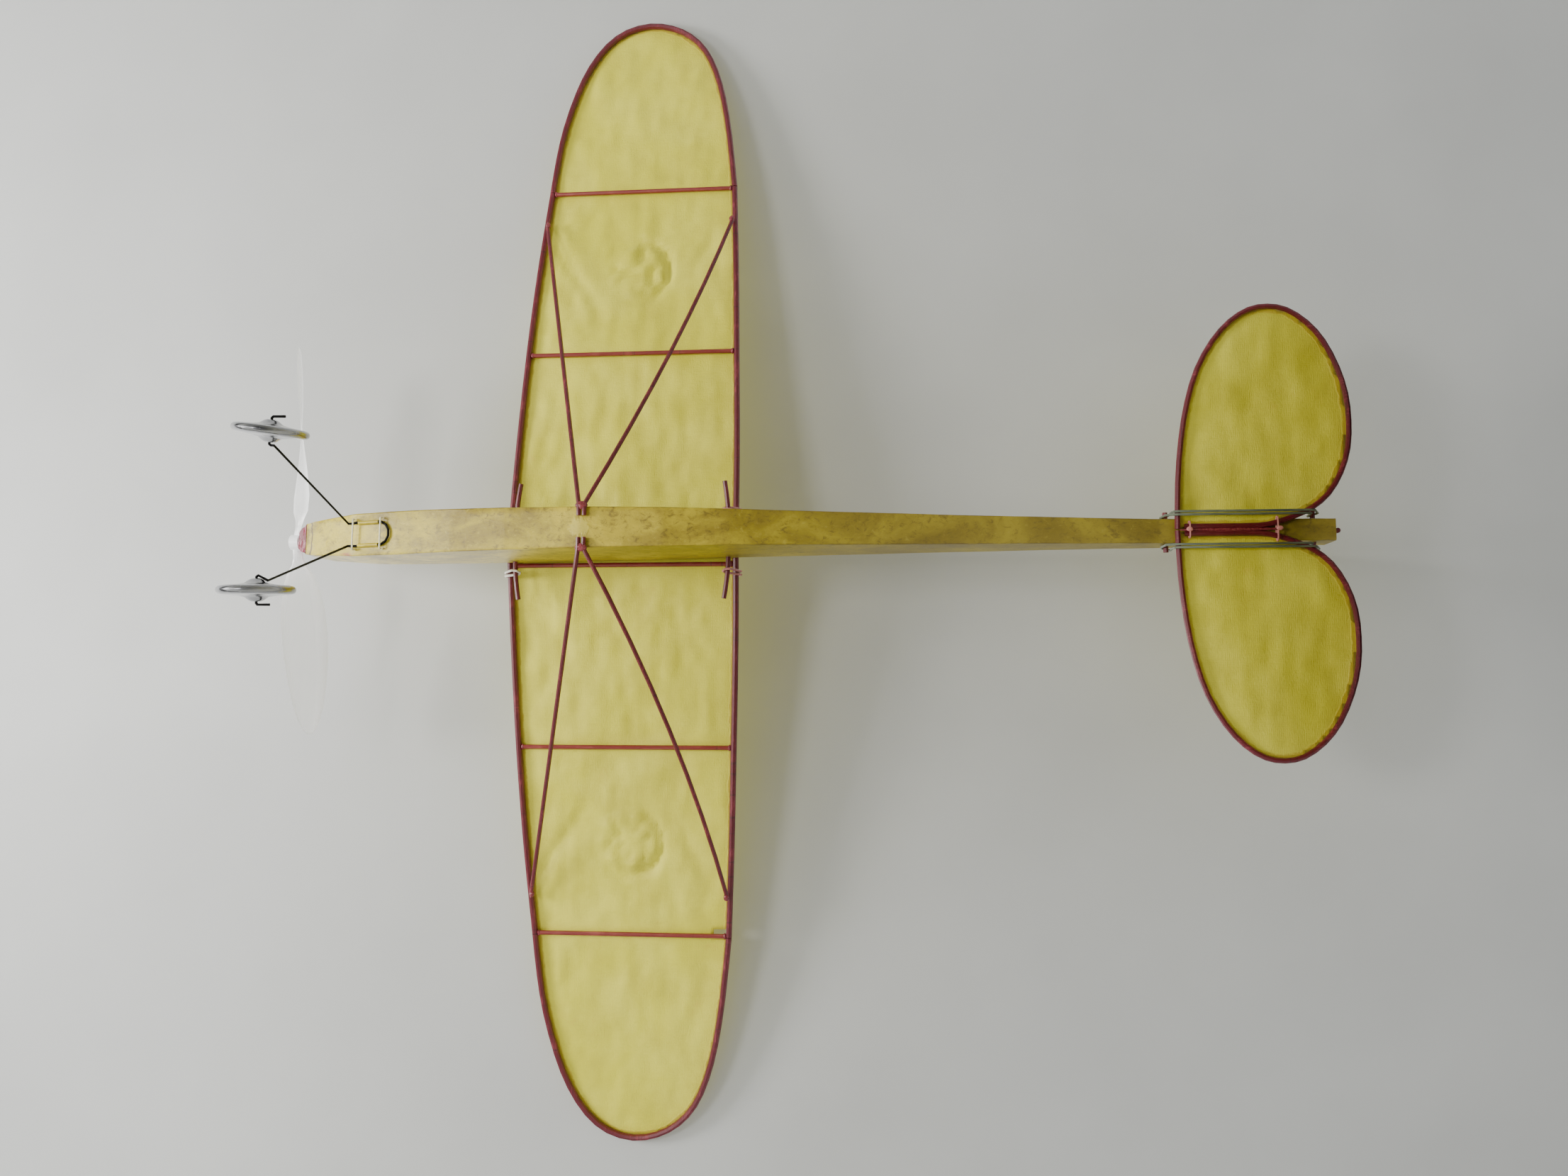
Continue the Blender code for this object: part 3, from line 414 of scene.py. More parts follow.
# %% Clear moulding
def clear_moulding():
    finish = Finish("clear_moulding", coat_weight=0.5, coat_roughness=0.08,
                    emission_strength=0.3)
    ripples = finish.grain(7.0, 2.0, (3, 1, 1))
    rim = finish.node("ShaderNodeAttribute", {"attribute_name": "edge"}, {}, 2)
    finish.feed(base_color=finish.mix(ripples, dye(246, 247, 247), dye(252, 252, 252)),
                roughness=ripples * 0.1 + 0.15, alpha=rim * 0.6 + ripples * 0.08 + 0.3,
                normal=finish.bump(ripples, 0.15, 0.3))
    return finish.material


clear = clear_moulding()
print("finish", clear.name)

# %% [markdown]
# The rest is plain stuff: rubber bands with a dusty bloom, waxed thread, raw card, raw balsa, dyed
# glue and the pale paper strips that hold the wire clip. One function makes them all, because they
# differ only in their two colours, the size of their grain and how matt they are.

# %% Plain stuff
def plain(name, first, second, size, rough, stretch=(1, 1, 1), depth=0.1, **constants):
    finish = Finish(name, **constants)
    spots = finish.grain(size, 4.0, stretch, 0.6)
    finish.feed(base_color=finish.mix(finish.step(spots, 0.3, 0.7), dye(*first), dye(*second)),
                roughness=spots * 0.2 + (rough - 0.1), normal=finish.bump(spots, depth, 0.5))
    return finish.material


white_rubber = plain("white_rubber", (214, 208, 196), (236, 232, 222), 1.2, 0.55)
pink_rubber = plain("pink_rubber", (176, 104, 108), (206, 142, 142), 1.2, 0.5)
grey_rubber = plain("grey_rubber", (92, 104, 88), (132, 140, 122), 1.4, 0.5, (1, 9, 1))
tan_rubber = plain("tan_rubber", (150, 112, 72), (178, 140, 96), 1.8, 0.6, (1, 9, 1))
thread = plain("waxed_thread", (196, 116, 112), (226, 158, 150), 0.35, 0.6, depth=0.1)
raw_card = plain("raw_card", (176, 158, 124), (198, 182, 148), 1.6, 0.85)
raw_balsa = plain("raw_balsa", (196, 164, 118), (218, 190, 146), 0.6, 0.8, (1, 12, 1))
pale_strip = plain("pale_strip", (232, 226, 190), (246, 242, 214), 0.9, 0.6)
glue = plain("dyed_glue", (104, 20, 34), (150, 60, 70), 0.9, 0.25, coat_weight=0.4)
print("finishes in all", len(bpy.data.materials))

# %% [markdown]
# Most pieces of the frame already have the right shape, so they keep it and only take a finish. Their
# meshes are loose triangles, which shade as flat facets. A weld and an edge split, both live, smooth
# the round ones and keep their cut ends crisp.

# %% Paint and smooth a piece
SHARP = math.radians(38)
MERGE = 1e-6


def paint(piece, finish):
    piece.data.materials.clear()
    piece.data.materials.append(finish)
    piece.data.shade_smooth()


def keep_edges_crisp(piece):
    crisp = piece.modifiers.new("crisp", "EDGE_SPLIT")
    crisp.split_angle = SHARP


# %% Dress the frame
def dress(name, finish):
    piece = nodes[name]
    paint(piece, finish)
    weld = piece.modifiers.new("weld", "WELD")
    weld.merge_threshold = MERGE
    keep_edges_crisp(piece)


SIDES = ("left", "right")
RIBS = ("root", "inner", "outer")
wood = {"wing_leading_edge": crimson["x"], "wing_trailing_edge": crimson["x"],
        "wing_peg_front": crimson["x"], "wing_peg_rear": crimson["x"],
        "motor_peg": crimson["x"], "tail_peg": crimson["x"],
        "fin_frame": crimson["z"], "fin_foot": crimson["y"]}
for side in SIDES:
    wood["wing_tip_" + side] = crimson["x"]
    wood["tailplane_frame_" + side] = crimson["y"]
    wood["strut_front_" + side] = crimson["x"]
    wood["strut_rear_" + side] = crimson["x"]
    for rib in RIBS:
        wood["wing_rib_" + rib + "_" + side] = russet["y"]
stuff = {"wheel_left": silver, "wheel_right": silver, "gear_wire": wire, "propeller_shaft": wire,
         "thrust_washer": brass, "shaft_bush": brass, "tail_plug": raw_balsa,
         "rubber_motor": tan_rubber, "wing_band_front": white_rubber, "wing_band_rear": pink_rubber,
         "tail_band_left": grey_rubber, "tail_band_right": grey_rubber,
         "gear_staple_front": pale_strip, "gear_staple_rear": pale_strip}
for name in ("former_gear", "former_front", "former_rear", "former_tail"):
    stuff[name] = raw_card
for name, finish in {**wood, **stuff}.items():
    dress(name, finish)
print("dressed", len(wood) + len(stuff), "pieces of the frame")

# %% [markdown]
# A tissue skin is the softest thing here. The frame holds it as a flat slab, so the slab's lower face
# is taken as the pattern, cut into a fine grid, and then lifted and dented point by point. It could be
# simulated as cloth, but doped tissue is stretched tight and hardly moves: what shows is its creases,
# and those are listed one by one. The grid stays pinned along the outline and along each stick.
# Something round was once pressed into each half of the wing and left its mark.

# %% Creases, dents and pins
def soft_step(value):
    value = min(1.0, max(0.0, value))
    return value * value * (3 - 2 * value)


def crease(point, start, end, height, width):
    """A long fold from start to end, fading at both."""
    here, start, end = point.to_2d(), Vector(start), Vector(end)
    run = end - start
    share = (here - start).dot(run) / run.length_squared
    if not 0 < share < 1:
        return 0.0
    off = (here - start.lerp(end, share)).length
    return height * math.exp(-(off / width) ** 2) * math.sin(math.pi * share)


def pressed_ring(point, centre, radius, face):
    """The mark of something round that was pressed into the paper while it was wet."""
    offset = Vector((point.x - centre[0], point.y - centre[1]))
    away = offset.length
    if away > radius * 1.6:
        return 0.0
    round_it = math.atan2(offset.y, offset.x)
    wobble = radius + 1.3 * noise.noise(Vector((round_it * 1.7, face, 0.0)))
    lip = 2.5 * math.exp(-((away - wobble) / 1.3) ** 2) * (0.5 + 0.5 * math.cos(round_it - 1.35))
    crumple = 2.7 * noise.fractal(Vector((offset.x / 5, offset.y / 5, face)), 1.0, 2.2, 3)
    return lip - soft_step((radius - away) / 5) * (0.6 - crumple)


def undulation(point, long_way, seed):
    """Slow waves, with fine crinkles on top."""
    slow = noise.noise(Vector((point.x / 34, point.y / long_way, seed)))
    slant = noise.noise(Vector(((point.x + point.y) / 11, (point.x - point.y) / 42, seed + 5)))
    fine = noise.fractal(Vector((point.x / 15, point.y / 5, seed + 9)), 1.0, 2.1, 3)
    return 0.9 * slow + 0.3 * slant + 0.8 * fine


RIBS_X = [abs(own("wing_rib_" + rib + "_left").x) for rib in RIBS]
RING_RADIUS = 14.5
WING_CREASES = (((146, 5), (104, 34), 1.25, 2.2), ((143, 8), (118, 22), 0.7, 1.5),
                ((14, 22), (62, 70), 0.6, 3.4), ((16, 60), (50, 84), 0.6, 3.0),
                ((150, 88), (112, 66), 0.7, 2.6), ((20, 8), (48, 26), 0.6, 2.6))


def wing_relief(point, edge):
    side_of = math.copysign(1.0, point.x)
    here = Vector((abs(point.x), point.y, 0.0))
    pin = soft_step(edge / 8) * min(soft_step(abs(here.x - rib) / 6) for rib in RIBS_X)
    folds = sum(crease(here, *fold) for fold in WING_CREASES)
    centre = ((RIBS_X[1] + RIBS_X[2]) / 2 + 0.5, 48.4)
    ring = pressed_ring(here, centre, RING_RADIUS, 2.0 * side_of)
    return pin * (undulation(here, 26, 3.3 * side_of) + folds + ring)


def tail_relief(point, edge):
    return soft_step(edge / 7) * undulation(point, 22, 4.1 * math.copysign(1.0, point.x))


def fin_relief(point, edge):
    here = Vector((point.y, point.z, 0.0))
    return soft_step(edge / 7) * 0.6 * undulation(here, 22, 2.2)


print("sticks that pin the wing paper, from the middle", [round(x, 1) for x in RIBS_X])

# %% [markdown]
# An operator acts on all that is selected, and the loaded frame comes selected. So a few small hands
# come first. They let go of everything, pick one piece up, and open and close it for editing. Two
# more read a frame piece's corners and how far they reach.

# %% Hands
def deselect():
    for piece in bpy.context.selected_objects:
        piece.select_set(False)


def pick(piece):
    deselect()
    piece.select_set(True)
    bpy.context.view_layer.objects.active = piece


def start_editing(piece):
    pick(piece)
    bpy.ops.object.mode_set(mode="EDIT")
    bpy.ops.mesh.select_all(action="SELECT")


def stop_editing():
    bpy.ops.object.mode_set(mode="OBJECT")


def put_in_scene(name, mesh):
    piece = bpy.data.objects.new(name, mesh)
    bpy.context.scene.collection.objects.link(piece)
    return piece


def corners(node):
    """Every corner of a frame piece, on the aeroplane's own axes in millimetres."""
    return [home_mm @ vert.co for vert in nodes[node].data.vertices]


def lowest(spots):
    return Vector([min(spot[i] for spot in spots) for i in range(3)])


def highest(spots):
    return Vector([max(spot[i] for spot in spots) for i in range(3)])


print("hands ready")

# %% [markdown]
# The pattern is one flat face with the outline of the slab. It is bisected again and again into a grid.
# Each grid point then learns how far it is from the outline, which pins it and later tells the finish
# where the glued lap is. A second wall behind the first gives the paper its thickness.

# %% Take the pattern
OWN_AXES = (Vector((1, 0, 0)), Vector((0, 1, 0)), Vector((0, 0, 1)))
FACING = 0.7
NEAR = 0.0005


def flat_pattern(node, facing):
    bm = bmesh.new()
    bm.from_mesh(nodes[node].data)
    bmesh.ops.transform(bm, matrix=home_mm, verts=bm.verts)
    bmesh.ops.remove_doubles(bm, verts=bm.verts, dist=0.001)
    bm.normal_update()
    unwanted = [face for face in bm.faces if face.normal.dot(facing) < FACING]
    bmesh.ops.delete(bm, geom=unwanted, context="FACES")
    bmesh.ops.dissolve_faces(bm, faces=bm.faces[:])
    return bm


# %% Lay the grid
def lay_grid(bm, facing, cell, low, high):
    for i, way in enumerate(OWN_AXES):
        if abs(facing[i]) > FACING:
            continue
        for k in range(1, int((high[i] - low[i]) / cell) + 1):
            parts = bm.verts[:] + bm.edges[:] + bm.faces[:]
            bmesh.ops.bisect_plane(bm, geom=parts, dist=NEAR,
                                   plane_co=low + way * k * cell, plane_no=way)


# %% Mark the outline
MARK_EVERY = 0.6


def marks_along(rim):
    """Points along an outline, to measure the distance to it."""
    marks = []
    for start, end in rim:
        steps = max(1, int((end - start).length / MARK_EVERY))
        marks += [start.lerp(end, k / steps) for k in range(steps)]
    tree = kdtree.KDTree(len(marks))
    for k, mark in enumerate(marks):
        tree.insert(mark, k)
    tree.balance()
    return tree


def inside(point, centre, across, along_it):
    offset = point.to_2d() - Vector(centre)
    return (offset.x / across) ** 2 + (offset.y / along_it) ** 2 < 1


# %% Cut a skin from its slab
PAPER = 0.12
SLOPE_STRETCH = 1.013


def skin(node, name, facing, cell, relief, torn=None):
    bm = flat_pattern(node, facing)
    area = sum(face.calc_area() for face in bm.faces)
    rim = [(edge.verts[0].co.copy(), edge.verts[1].co.copy()) for edge in bm.edges]
    low, high = [reach([vert.co for vert in bm.verts]) for reach in (lowest, highest)]
    lay_grid(bm, facing, cell, low, high)
    outline = marks_along(rim)
    layer = bm.verts.layers.float.new("edge")
    for vert in bm.verts:
        vert[layer] = outline.find(vert.co)[2]
        vert.co -= facing * relief(vert.co, vert[layer])
    if torn:
        hole = [face for face in bm.faces if inside(face.calc_center_median(), *torn)]
        bmesh.ops.delete(bm, geom=hole, context="FACES")
    bmesh.ops.transform(bm, matrix=place_mm, verts=bm.verts)
    mesh = bpy.data.meshes.new(name)
    bm.to_mesh(mesh)
    bm.free()
    piece = put_in_scene(name, mesh)
    paint(piece, tissue)
    thick = piece.modifiers.new("thick", "SOLIDIFY")
    thick.thickness = PAPER * MM
    thick.offset = -1.0
    pick(piece)
    bpy.ops.object.modifier_apply(modifier="thick")
    size = high - low
    upright = abs(facing.x) > FACING
    spans = sorted(size, reverse=True)[:2] if upright else [size.x * SLOPE_STRETCH, size.y]
    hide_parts(node)
    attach(piece, "airframe")
    [span * MM for span in spans]
    area * MM * MM
    print(name, "faces", len(mesh.polygons), "cut in millimetres", [round(v) for v in spans])


# %% Wing, tail and fin paper
DOWN = Vector((0, 0, -1))
TEAR = ((-163.6, 87.6), 2.4, 3.6)
WING_CELL, TAIL_CELL = 2.0, 2.4
for side in SIDES:
    skin("wing_tissue_" + side, "wing_paper_" + side, DOWN, WING_CELL, wing_relief,
         TEAR if side == "right" else None)
    skin("tailplane_tissue_" + side, "tailplane_paper_" + side, DOWN, TAIL_CELL, tail_relief)
skin("fin_tissue", "fin_paper", OWN_AXES[0], TAIL_CELL, fin_relief)

# %% [markdown]
# The fuselage is folded card under pasted paper. Its edges are not knife sharp, and its sides are not
# flat: the damp paper pulled the card in between the formers, most of all at the nose. So a copy of the
# card tube gets small bevels along its four folds, is bisected into a fine grid, and its outside is
# pushed in a little with noise. The inside stays as it is, and so do the rims round the dowel holes.

# %% Copies of frame pieces
def own_copy(node, name):
    """A merged copy of a frame piece, on the aeroplane's own axes in millimetres."""
    mesh = bpy.data.meshes.new(name)
    bm = bmesh.new()
    bm.from_mesh(nodes[node].data)
    bm.to_mesh(mesh)
    bm.free()
    mesh.transform(home_mm)
    piece = put_in_scene(name, mesh)
    start_editing(piece)
    bpy.ops.mesh.remove_doubles(threshold=0.0015)
    bpy.ops.mesh.dissolve_limited(angle_limit=0.002)
    stop_editing()
    return piece


def slice_up(piece, way, step):
    """Cut across a piece at even steps, so that it can be dented finely."""
    spots = [vert.co.dot(way) for vert in piece.data.vertices]
    low, high = min(spots), max(spots)
    start_editing(piece)
    for k in range(1, int((high - low) / step) + 1):
        bpy.ops.mesh.select_all(action="SELECT")
        bpy.ops.mesh.bisect(plane_co=way * (low + k * step), plane_no=way, threshold=NEAR)
    stop_editing()


# %% Finish a copy
def finished(piece, node, finish, body="airframe"):
    """Bring a copy back into the frame, paint it and let it stand for its node."""
    piece.data.transform(place_mm)
    paint(piece, finish)
    keep_edges_crisp(piece)
    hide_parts(node)
    if body:
        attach(piece, body)
    print(piece.name, "faces", len(piece.data.polygons))


def store(piece, values):
    """Store one value for each corner, which the finish reads as edge."""
    layer = piece.data.attributes.new("edge", "FLOAT", "POINT")
    layer.data.foreach_set("value", values)


# %% Wrinkled fuselage
PEGS = [own(name) for name in ("wing_peg_front", "wing_peg_rear", "motor_peg", "tail_peg")]
PASTE_PULL = 0.26


def pasted(point):
    nose = 1 - soft_step((point.y + 70) / 60)
    long_one = noise.noise(Vector((point.x / 9, point.y / 22, point.z / 9)))
    crinkle = noise.fractal(Vector((point.x / 4, point.y / 6, point.z / 4 + 7)), 1.0, 2.1, 3)
    pull = 0.45 + 0.4 * long_one + (0.15 + 0.35 * nose) * crinkle
    return PASTE_PULL * min(1.0, max(0.0, pull))


def is_long_fold(edge):
    """The four edges where the card folds along the fuselage."""
    long_one = abs((edge.verts[0].co - edge.verts[1].co).y) > 5
    return (long_one and len(edge.link_faces) == 2 and edge.calc_face_angle() > 0.9
            and edge.is_convex)


# %% Bevel the folds
FOLD_BEVEL = 0.55
shell = own_copy("fuselage_shell", "fuselage_skin")
start_editing(shell)
bpy.ops.mesh.select_all(action="DESELECT")
bm = bmesh.from_edit_mesh(shell.data)
for edge in bm.edges:
    edge.select_set(is_long_fold(edge))
bmesh.update_edit_mesh(shell.data)
bpy.ops.mesh.bevel(offset=FOLD_BEVEL, segments=2, profile=0.5, affect="EDGES",
                   loop_slide=False)
stop_editing()
for way, step in ((OWN_AXES[1], 2.6), (OWN_AXES[0], 2.4), (OWN_AXES[2], 2.6)):
    slice_up(shell, way, step)
print("shell faces", len(shell.data.polygons))

# %% Pull the card in
MIDDLE_HEIGHT = -8.0
moves, darker_folds = [], []
for vert in shell.data.vertices:
    spot, normal = vert.co, vert.normal
    # Corners on the bevelled folds, where the finish makes the card darker.
    darker_folds.append(float(abs(normal.x) > 0.3 and abs(normal.z) > 0.3))
    outward = (spot - Vector((0, spot.y, MIDDLE_HEIGHT))).dot(normal)
    near = min(math.hypot(spot.y - peg.y, spot.z - peg.z) for peg in PEGS)
    if outward > 1.0 and abs(normal.y) < 0.5:
        moves.append((vert, normal * (-pasted(spot) * soft_step((near - 2.0) / 4))))
for vert, move in moves:
    vert.co += move
store(shell, darker_folds)
finished(shell, "fuselage_shell", card)

# %% [markdown]
# The nose plug was whittled, so it is faceted and lumpy. Its copy is bisected finely and pushed in
# unevenly, clear of the bush hole and of the part that fits inside the fuselage.

# %% Whittled nose plug
nose_axis = own("shaft_bush")
shell_front = lowest(corners("fuselage_shell")).y - 0.1
BUSH_CLEAR = 2.6
DEEPEST = 0.6


def whittled(spot):
    """How deep the knife went at a spot."""
    lump = noise.fractal(spot / 2.6, 1.0, 2.2, 3)
    facet = noise.cell(Vector((spot.x / 3.1, spot.y / 9, spot.z / 3.3)))
    return max(0.0, min(DEEPEST, 0.28 + 0.3 * lump + 0.12 * facet))


plug = own_copy("nose_block", "nose_plug")
for way in OWN_AXES:
    slice_up(plug, way, 0.7)
moves = []
for vert in plug.data.vertices:
    away = math.hypot(vert.co.x - nose_axis.x, vert.co.z - nose_axis.z)
    if vert.co.y < shell_front and away > BUSH_CLEAR:
        hold = soft_step((away - BUSH_CLEAR) / 2) * soft_step((shell_front - vert.co.y) / 0.6)
        moves.append((vert, vert.normal * (-whittled(vert.co) * hold)))
for vert, move in moves:
    vert.co += move
start_editing(plug)
bpy.ops.mesh.quads_convert_to_tris()
stop_editing()
finished(plug, "nose_block", enamel)

# %% [markdown]
# The propeller keeps its moulded shape. Its copy only stores where it is thick: along the sharp rims
# of the blades and at the hub, which the finish then makes denser.

# %% Propeller with denser rims
RIM_ANGLE = 0.9
HUB_RADIUS = 4.5
blades = own_copy("propeller", "clear_propeller")
bm = bmesh.new()
bm.from_mesh(blades.data)
dense = []
for vert in bm.verts:
    sharp = max([edge.calc_face_angle(0.0) for edge in vert.link_edges] or [0.0])
    from_shaft = math.hypot(vert.co.x - nose_axis.x, vert.co.z - nose_axis.z)
    dense.append(float(sharp > RIM_ANGLE or from_shaft < HUB_RADIUS))
bm.free()
store(blades, dense)
finished(blades, "propeller", clear, "propeller_body")

# %% [markdown]
# The motor is a skein of flat rubber, hooked on the shaft in front and on the tail dowel behind. Its
# copy is cut across every few millimetres along its length and stays fixed where the frame holds it.

# %% Rubber skein
skein = own_copy("rubber_motor", "rubber_skein")
slice_up(skein, OWN_AXES[1], 3.0)
finished(skein, "rubber_motor", tan_rubber, None)
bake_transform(skein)

# %% [markdown]
# Thread is wound round the two middle sticks of the tailplane, three turns at the front and three at
# the rear. Each winding is one helix on a rounded oval, of real thread thickness, and its ends are
# stuck down under pink glue. The frame holds each winding as one plain block, whose box gives the oval.

# %% The path of a winding
THREAD_R = 0.17
STEPS = 28
SQUARENESS = 0.72
SLACK = 0.05
FEWEST_TURNS = 3


def bulged(value):
    """Swell a sine or cosine, so that the circle becomes a rounded oblong."""
    return math.copysign(abs(value) ** SQUARENESS, value)


def oval_path(low, high):
    """Points of a helix that fills a box from front to rear."""
    centre, half = (low + high) / 2, (high - low) / 2
    turns = max(FEWEST_TURNS, round(2 * (half.y - THREAD_R) / (2.15 * THREAD_R)))
    path = []
    for k in range(turns * STEPS + 1):
        angle = math.tau * k / STEPS
        slack = SLACK * noise.noise(Vector((k / 9, 0.0, centre.y)))
        x = bulged(math.cos(angle)) * (half.x - THREAD_R - 0.02)
        z = bulged(math.sin(angle)) * (half.z - THREAD_R - 0.02)
        y = (k / (turns * STEPS) - 0.5) * 2 * (half.y - THREAD_R) + slack
        path.append(centre + Vector((x, y, z)))
    return path


# %% Thread windings
def winding(node, name):
    spots = corners(node)
    path = oval_path(lowest(spots), highest(spots))
    line = bpy.data.curves.new(name, "CURVE")
    line.dimensions = "3D"
    line.bevel_depth = THREAD_R * MM
    line.bevel_resolution = 2
    line.use_fill_caps = True
    run = line.splines.new("POLY")
    run.points.add(len(path) - 1)
    for point, spot in zip(run.points, path):
        point.co = (*(place_mm @ spot), 1.0)
    piece = put_in_scene(name, line)
    pick(piece)
    bpy.ops.object.convert(target="MESH")
    start_editing(piece)
    bpy.ops.mesh.remove_doubles(threshold=MERGE)
    stop_editing()
    paint(piece, thread)
    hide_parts(node)
    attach(piece, "airframe")
    print(name, "turns", (len(path) - 1) // STEPS, "faces", len(piece.data.polygons))


winding("lashing_front", "winding_front")
winding("lashing_rear", "winding_rear")

# %% [markdown]
# Every joint of the sticks has a drop of glue that was dyed along with them. A drop is a squashed ball
# with a lumpy skin, set on the joint: at the ends of the ribs and at the tops and feet of the struts.
# No two real drops are the same, so each gets its own lumps from where it sits.

# %% A glue drop
LUMPS = 0.16


def drop(name, spot, size, finish):
    deselect()
    bpy.ops.mesh.primitive_ico_sphere_add(subdivisions=4, radius=1.0)
    piece = bpy.context.active_object
    piece.name = name
    for vert in piece.data.vertices:
        lump = noise.noise(vert.co * 1.3 + spot) * LUMPS
        vert.co = place_mm @ (spot + vert.co * Vector(size) * (1 + lump))
    paint(piece, finish)
    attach(piece, "airframe")


def ends(name, way):
    """The two end points of a stick, from its furthest corners along a direction."""
    spots = corners(name)
    reach = [spot.dot(way) for spot in spots]
    out = []
    for value in (min(reach), max(reach)):
        group = [spot for spot in spots if abs(spot.dot(way) - value) < 0.05]
        out.append(sum(group, Vector()) / len(group))
    return out


# %% Glue on the sticks
RIB_DROP = (1.25, 0.75, 0.95)
STRUT_DROP = (1.5, 1.15, 1.1)
FOOT_DROP = (1.7, 2.3, 1.0)
INWARD = 0.15


def glue_drop(name, spot, size):
    drop("glue_" + name, spot, size, glue)


for side, sign in zip(SIDES, (1, -1)):
    for rib in RIBS:
        rib_ends = ends("wing_rib_" + rib + "_" + side, OWN_AXES[1])
        for end, at, way in zip(("front", "rear"), rib_ends, (1, -1)):
            spot = at + Vector((0, way * INWARD, -0.1))
            glue_drop("_".join((rib, end, side)), spot, RIB_DROP)
    for strut in ("front", "rear"):
        strut_ends = ends("strut_" + strut + "_" + side, OWN_AXES[0])
        foot, top = sorted(strut_ends, key=lambda end: abs(end.x))
        glue_drop("strut_" + strut + "_" + side, top + Vector((sign * -0.3, 0, 0.3)), STRUT_DROP)
    glue_drop("foot_" + side, foot + Vector((sign * 3.9, -1.0, -0.05)), FOOT_DROP)

# %% [markdown]
# The two side wires of the clip are lapped in pasted paper, so they look yellow and thicker than the
# bare wire of its ends. Each lap is a short tube along the wire, whose line is taken from the wire. It
# is a cylinder, subdivided so that its finish has corners to hold on to.

# %% Paper laps on the clip
LAP_RADIUS = 0.78
LAP_FRONT, LAP_REAR = -51.5, -42.0


def belly_slope():
    """The direction of the belly between the two bars of the clip."""
    run = own("gear_staple_rear") - own("gear_staple_front")
    return Vector((0.0, 1.0, run.z / run.y))


def lap_tube(name, sign):
    run = [spot for spot in corners("gear_wire")
           if LAP_FRONT - 6 < spot.y < LAP_REAR + 4 and 3.4 < sign * spot.x < 6.4 and spot.z < -24]
    centre = sum(run, Vector()) / len(run)
    belly = belly_slope()
    middle_at = centre + belly * ((LAP_FRONT + LAP_REAR) / 2 - centre.y)
    turn = belly.to_track_quat("Z", "Y").to_matrix().to_4x4()
    deselect()
    bpy.ops.mesh.primitive_cylinder_add(vertices=32, radius=LAP_RADIUS, depth=LAP_REAR - LAP_FRONT)
    piece = bpy.context.active_object
    piece.name = name
    start_editing(piece)
    bpy.ops.mesh.subdivide(number_cuts=3)
    stop_editing()
    piece.data.transform(place_mm @ Matrix.Translation(middle_at) @ turn)
    paint(piece, card)
    keep_edges_crisp(piece)
    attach(piece, "airframe")
    print(name, [round(v, 2) for v in middle_at])


lap_tube("clip_lap_left", 1)
lap_tube("clip_lap_right", -1)

# %% [markdown]
# The two middle sticks of the tailplane lie side by side, and glue fills the groove between them. Over
# each winding the ends of the thread are stuck down. All three are drops again, one of them very long.

# %% Glue between the two middle sticks
inner = [spot for spot in corners("tailplane_frame_left") if abs(spot.x) < 3 and 276 < spot.y < 304]
height = sum(spot.z for spot in inner) / len(inner)
glue_drop("between_sticks", Vector((0.0, 289.5, height - 0.1)), (0.68, 20.0, 0.72))
print("glue between the sticks at height", round(height, 2))

# %% Pink thread ends
THREAD_END = (0.9, 1.25, 0.42)
for end, shift in (("front", -0.2), ("rear", 0.6)):
    spot = own("lashing_" + end) + Vector((0.1, shift, 0))
    spot.z = lowest(corners("lashing_" + end)).z + 0.15
    drop("thread_end_" + end, spot, THREAD_END, thread)
    print("thread end", end, [round(v, 2) for v in spot])

# %% [markdown]
# The floor is a plain pale sheet under the wheels. The camera looks up from below it, so the floor
# shows only its upper face, and a pale board above the wing, which shows only its lower face, stands
# behind the aeroplane. The board leans as if it lay on the two wing tips and the top of the fin, and
# is set just clear of them.

# %% A finish that shows on one side
def one_sided(name, colour, cloudy):
    finish = Finish(name)
    tone = finish.grain(90.0, 3.0, rough=0.5)
    dull = dye(*[part * 0.91 for part in colour])
    finish.feed(base_color=finish.mix(tone * cloudy, dye(*colour), dull),
                roughness=tone * 0.1 + 0.5)
    behind = finish.node("ShaderNodeNewGeometry", {}, {}, 6)
    front = Signal(finish, finish.shader.outputs[0])
    gone = finish.node("ShaderNodeBsdfTransparent")
    shown = finish.node("ShaderNodeMixShader", {}, {0: behind, 1: front, 2: gone})
    finish.tree.links.new(shown.socket, finish.output.inputs[0])
    return finish.material


# %% Floor and board
FLOOR_SIZE, BOARD_SIZE = 6.0, 2.6
BOARD_CLEAR = 3.0


def board(name, matrix, size, finish):
    deselect()
    bpy.ops.mesh.primitive_plane_add(size=size)
    piece = bpy.context.active_object
    piece.name = name
    piece.data.transform(matrix)
    piece.data.materials.append(finish)
    piece.visible_shadow = False
    piece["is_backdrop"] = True


tip_left = max(corners("wing_tip_left"), key=lambda spot: spot.x)
fin_top = max(corners("fin_frame"), key=lambda spot: spot.z)
slope = math.atan2(fin_top.z - tip_left.z, fin_top.y - tip_left.y)
face_down = Matrix.Rotation(slope + math.pi, 4, "X")
resting = Matrix.Translation((0, tip_left.y, tip_left.z + BOARD_CLEAR)) @ face_down
metres = Matrix.Diagonal((1 / MM, 1 / MM, 1 / MM, 1))
board("floor", Matrix.Identity(4), FLOOR_SIZE, one_sided("pale_floor", (206, 207, 205), 0.5))
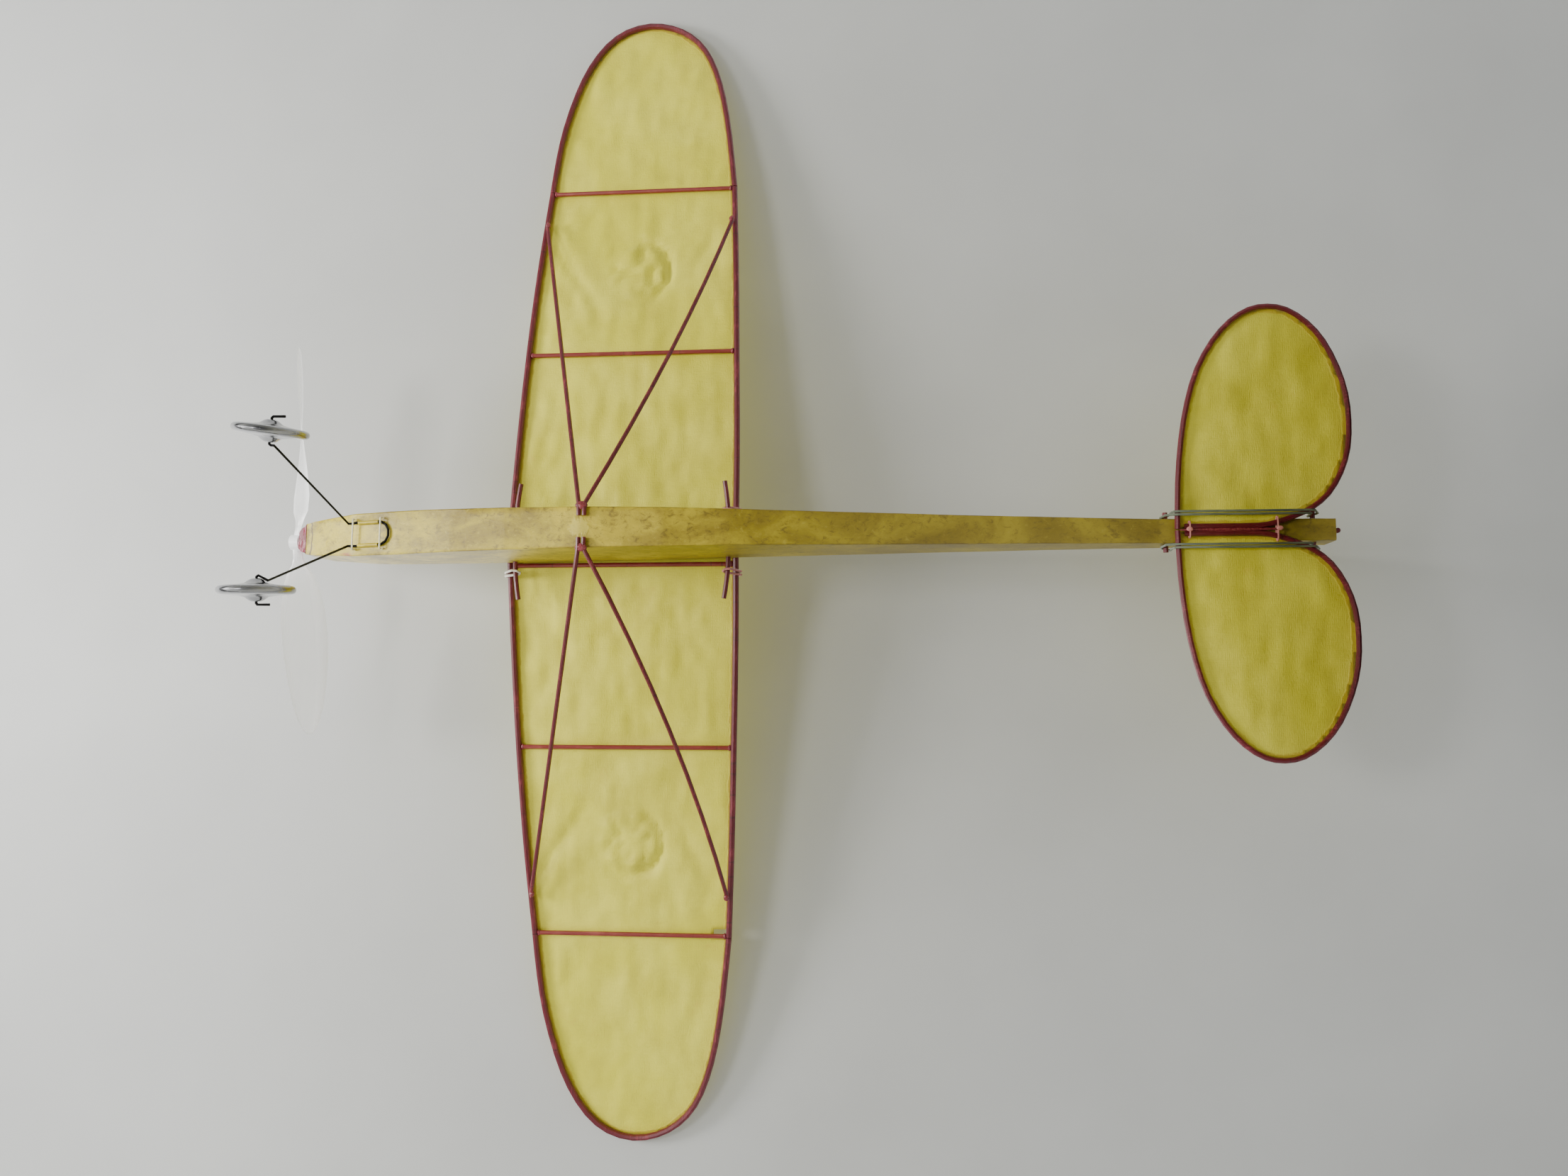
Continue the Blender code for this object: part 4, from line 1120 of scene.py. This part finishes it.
board("backdrop", place_mm @ resting @ metres, BOARD_SIZE,
      one_sided("pale_board", (206, 207, 206), 1.0))
print("board leans", round(math.degrees(slope), 1), "degrees to the fuselage")

# %% [markdown]
# The light is a tall window on the nose side, with a weak fill from behind the camera, and all of them
# shine from below, since that is the side that is looked at. The window is built as two panels: its
# low part throws the long shadow of the wing, and its high part the short soft shadows of the blades.
# It stands close, so that the light falls off towards the tail. Another soft pair lights the top.

# %% Lights
def panel(name, spot, aim, size, power, colour=(1, 1, 1)):
    lamp = bpy.data.lights.new(name, "AREA")
    lamp.shape = "SQUARE"
    lamp.size = size
    lamp.energy = power
    lamp.color = colour
    piece = bpy.data.objects.new(name, lamp)
    bpy.context.scene.collection.objects.link(piece)
    turn = (aim - spot).to_track_quat("-Z", "Y").to_matrix().to_4x4()
    piece.matrix_world = Matrix.Translation(spot) @ turn


def on_plane(x, y, z):
    return place_mm @ Vector((x, y, z))


panel("window_low", on_plane(30, -690, -420), on_plane(0, 30, 0), 0.24, 6.6, (1.0, 0.985, 0.96))
panel("window_high", on_plane(24, -430, -790), on_plane(0, 0, 0), 0.18, 2.4, (1.0, 0.99, 0.975))
panel("fill", on_plane(-250, 250, -1300), on_plane(0, 100, 0), 1.6, 0.25)
panel("top", Vector((-0.5, -0.9, 1.5)), Vector((0, 0, 0.05)), 1.2, 26)
panel("top_fill", Vector((1.3, 0.8, 1.0)), Vector((0, 0, 0.05)), 1.4, 12)

# %% The room
ROOM_COLOUR = (0.9, 0.92, 0.95, 1)
ROOM_STRENGTH = 0.03
world = bpy.data.worlds.new("room")
world.use_nodes = True
background = world.node_tree.nodes["Background"]
background.inputs["Color"].default_value = ROOM_COLOUR
background.inputs["Strength"].default_value = ROOM_STRENGTH
bpy.context.scene.world = world
print("lights", len(bpy.data.lights))

# %% Print how far the boxes moved
final_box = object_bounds()
for word, before, after in zip(("low", "high"), cad_box, final_box):
    print("moved", word, "in millimetres", [round((b - a) / MM, 2) for a, b in zip(before, after)])
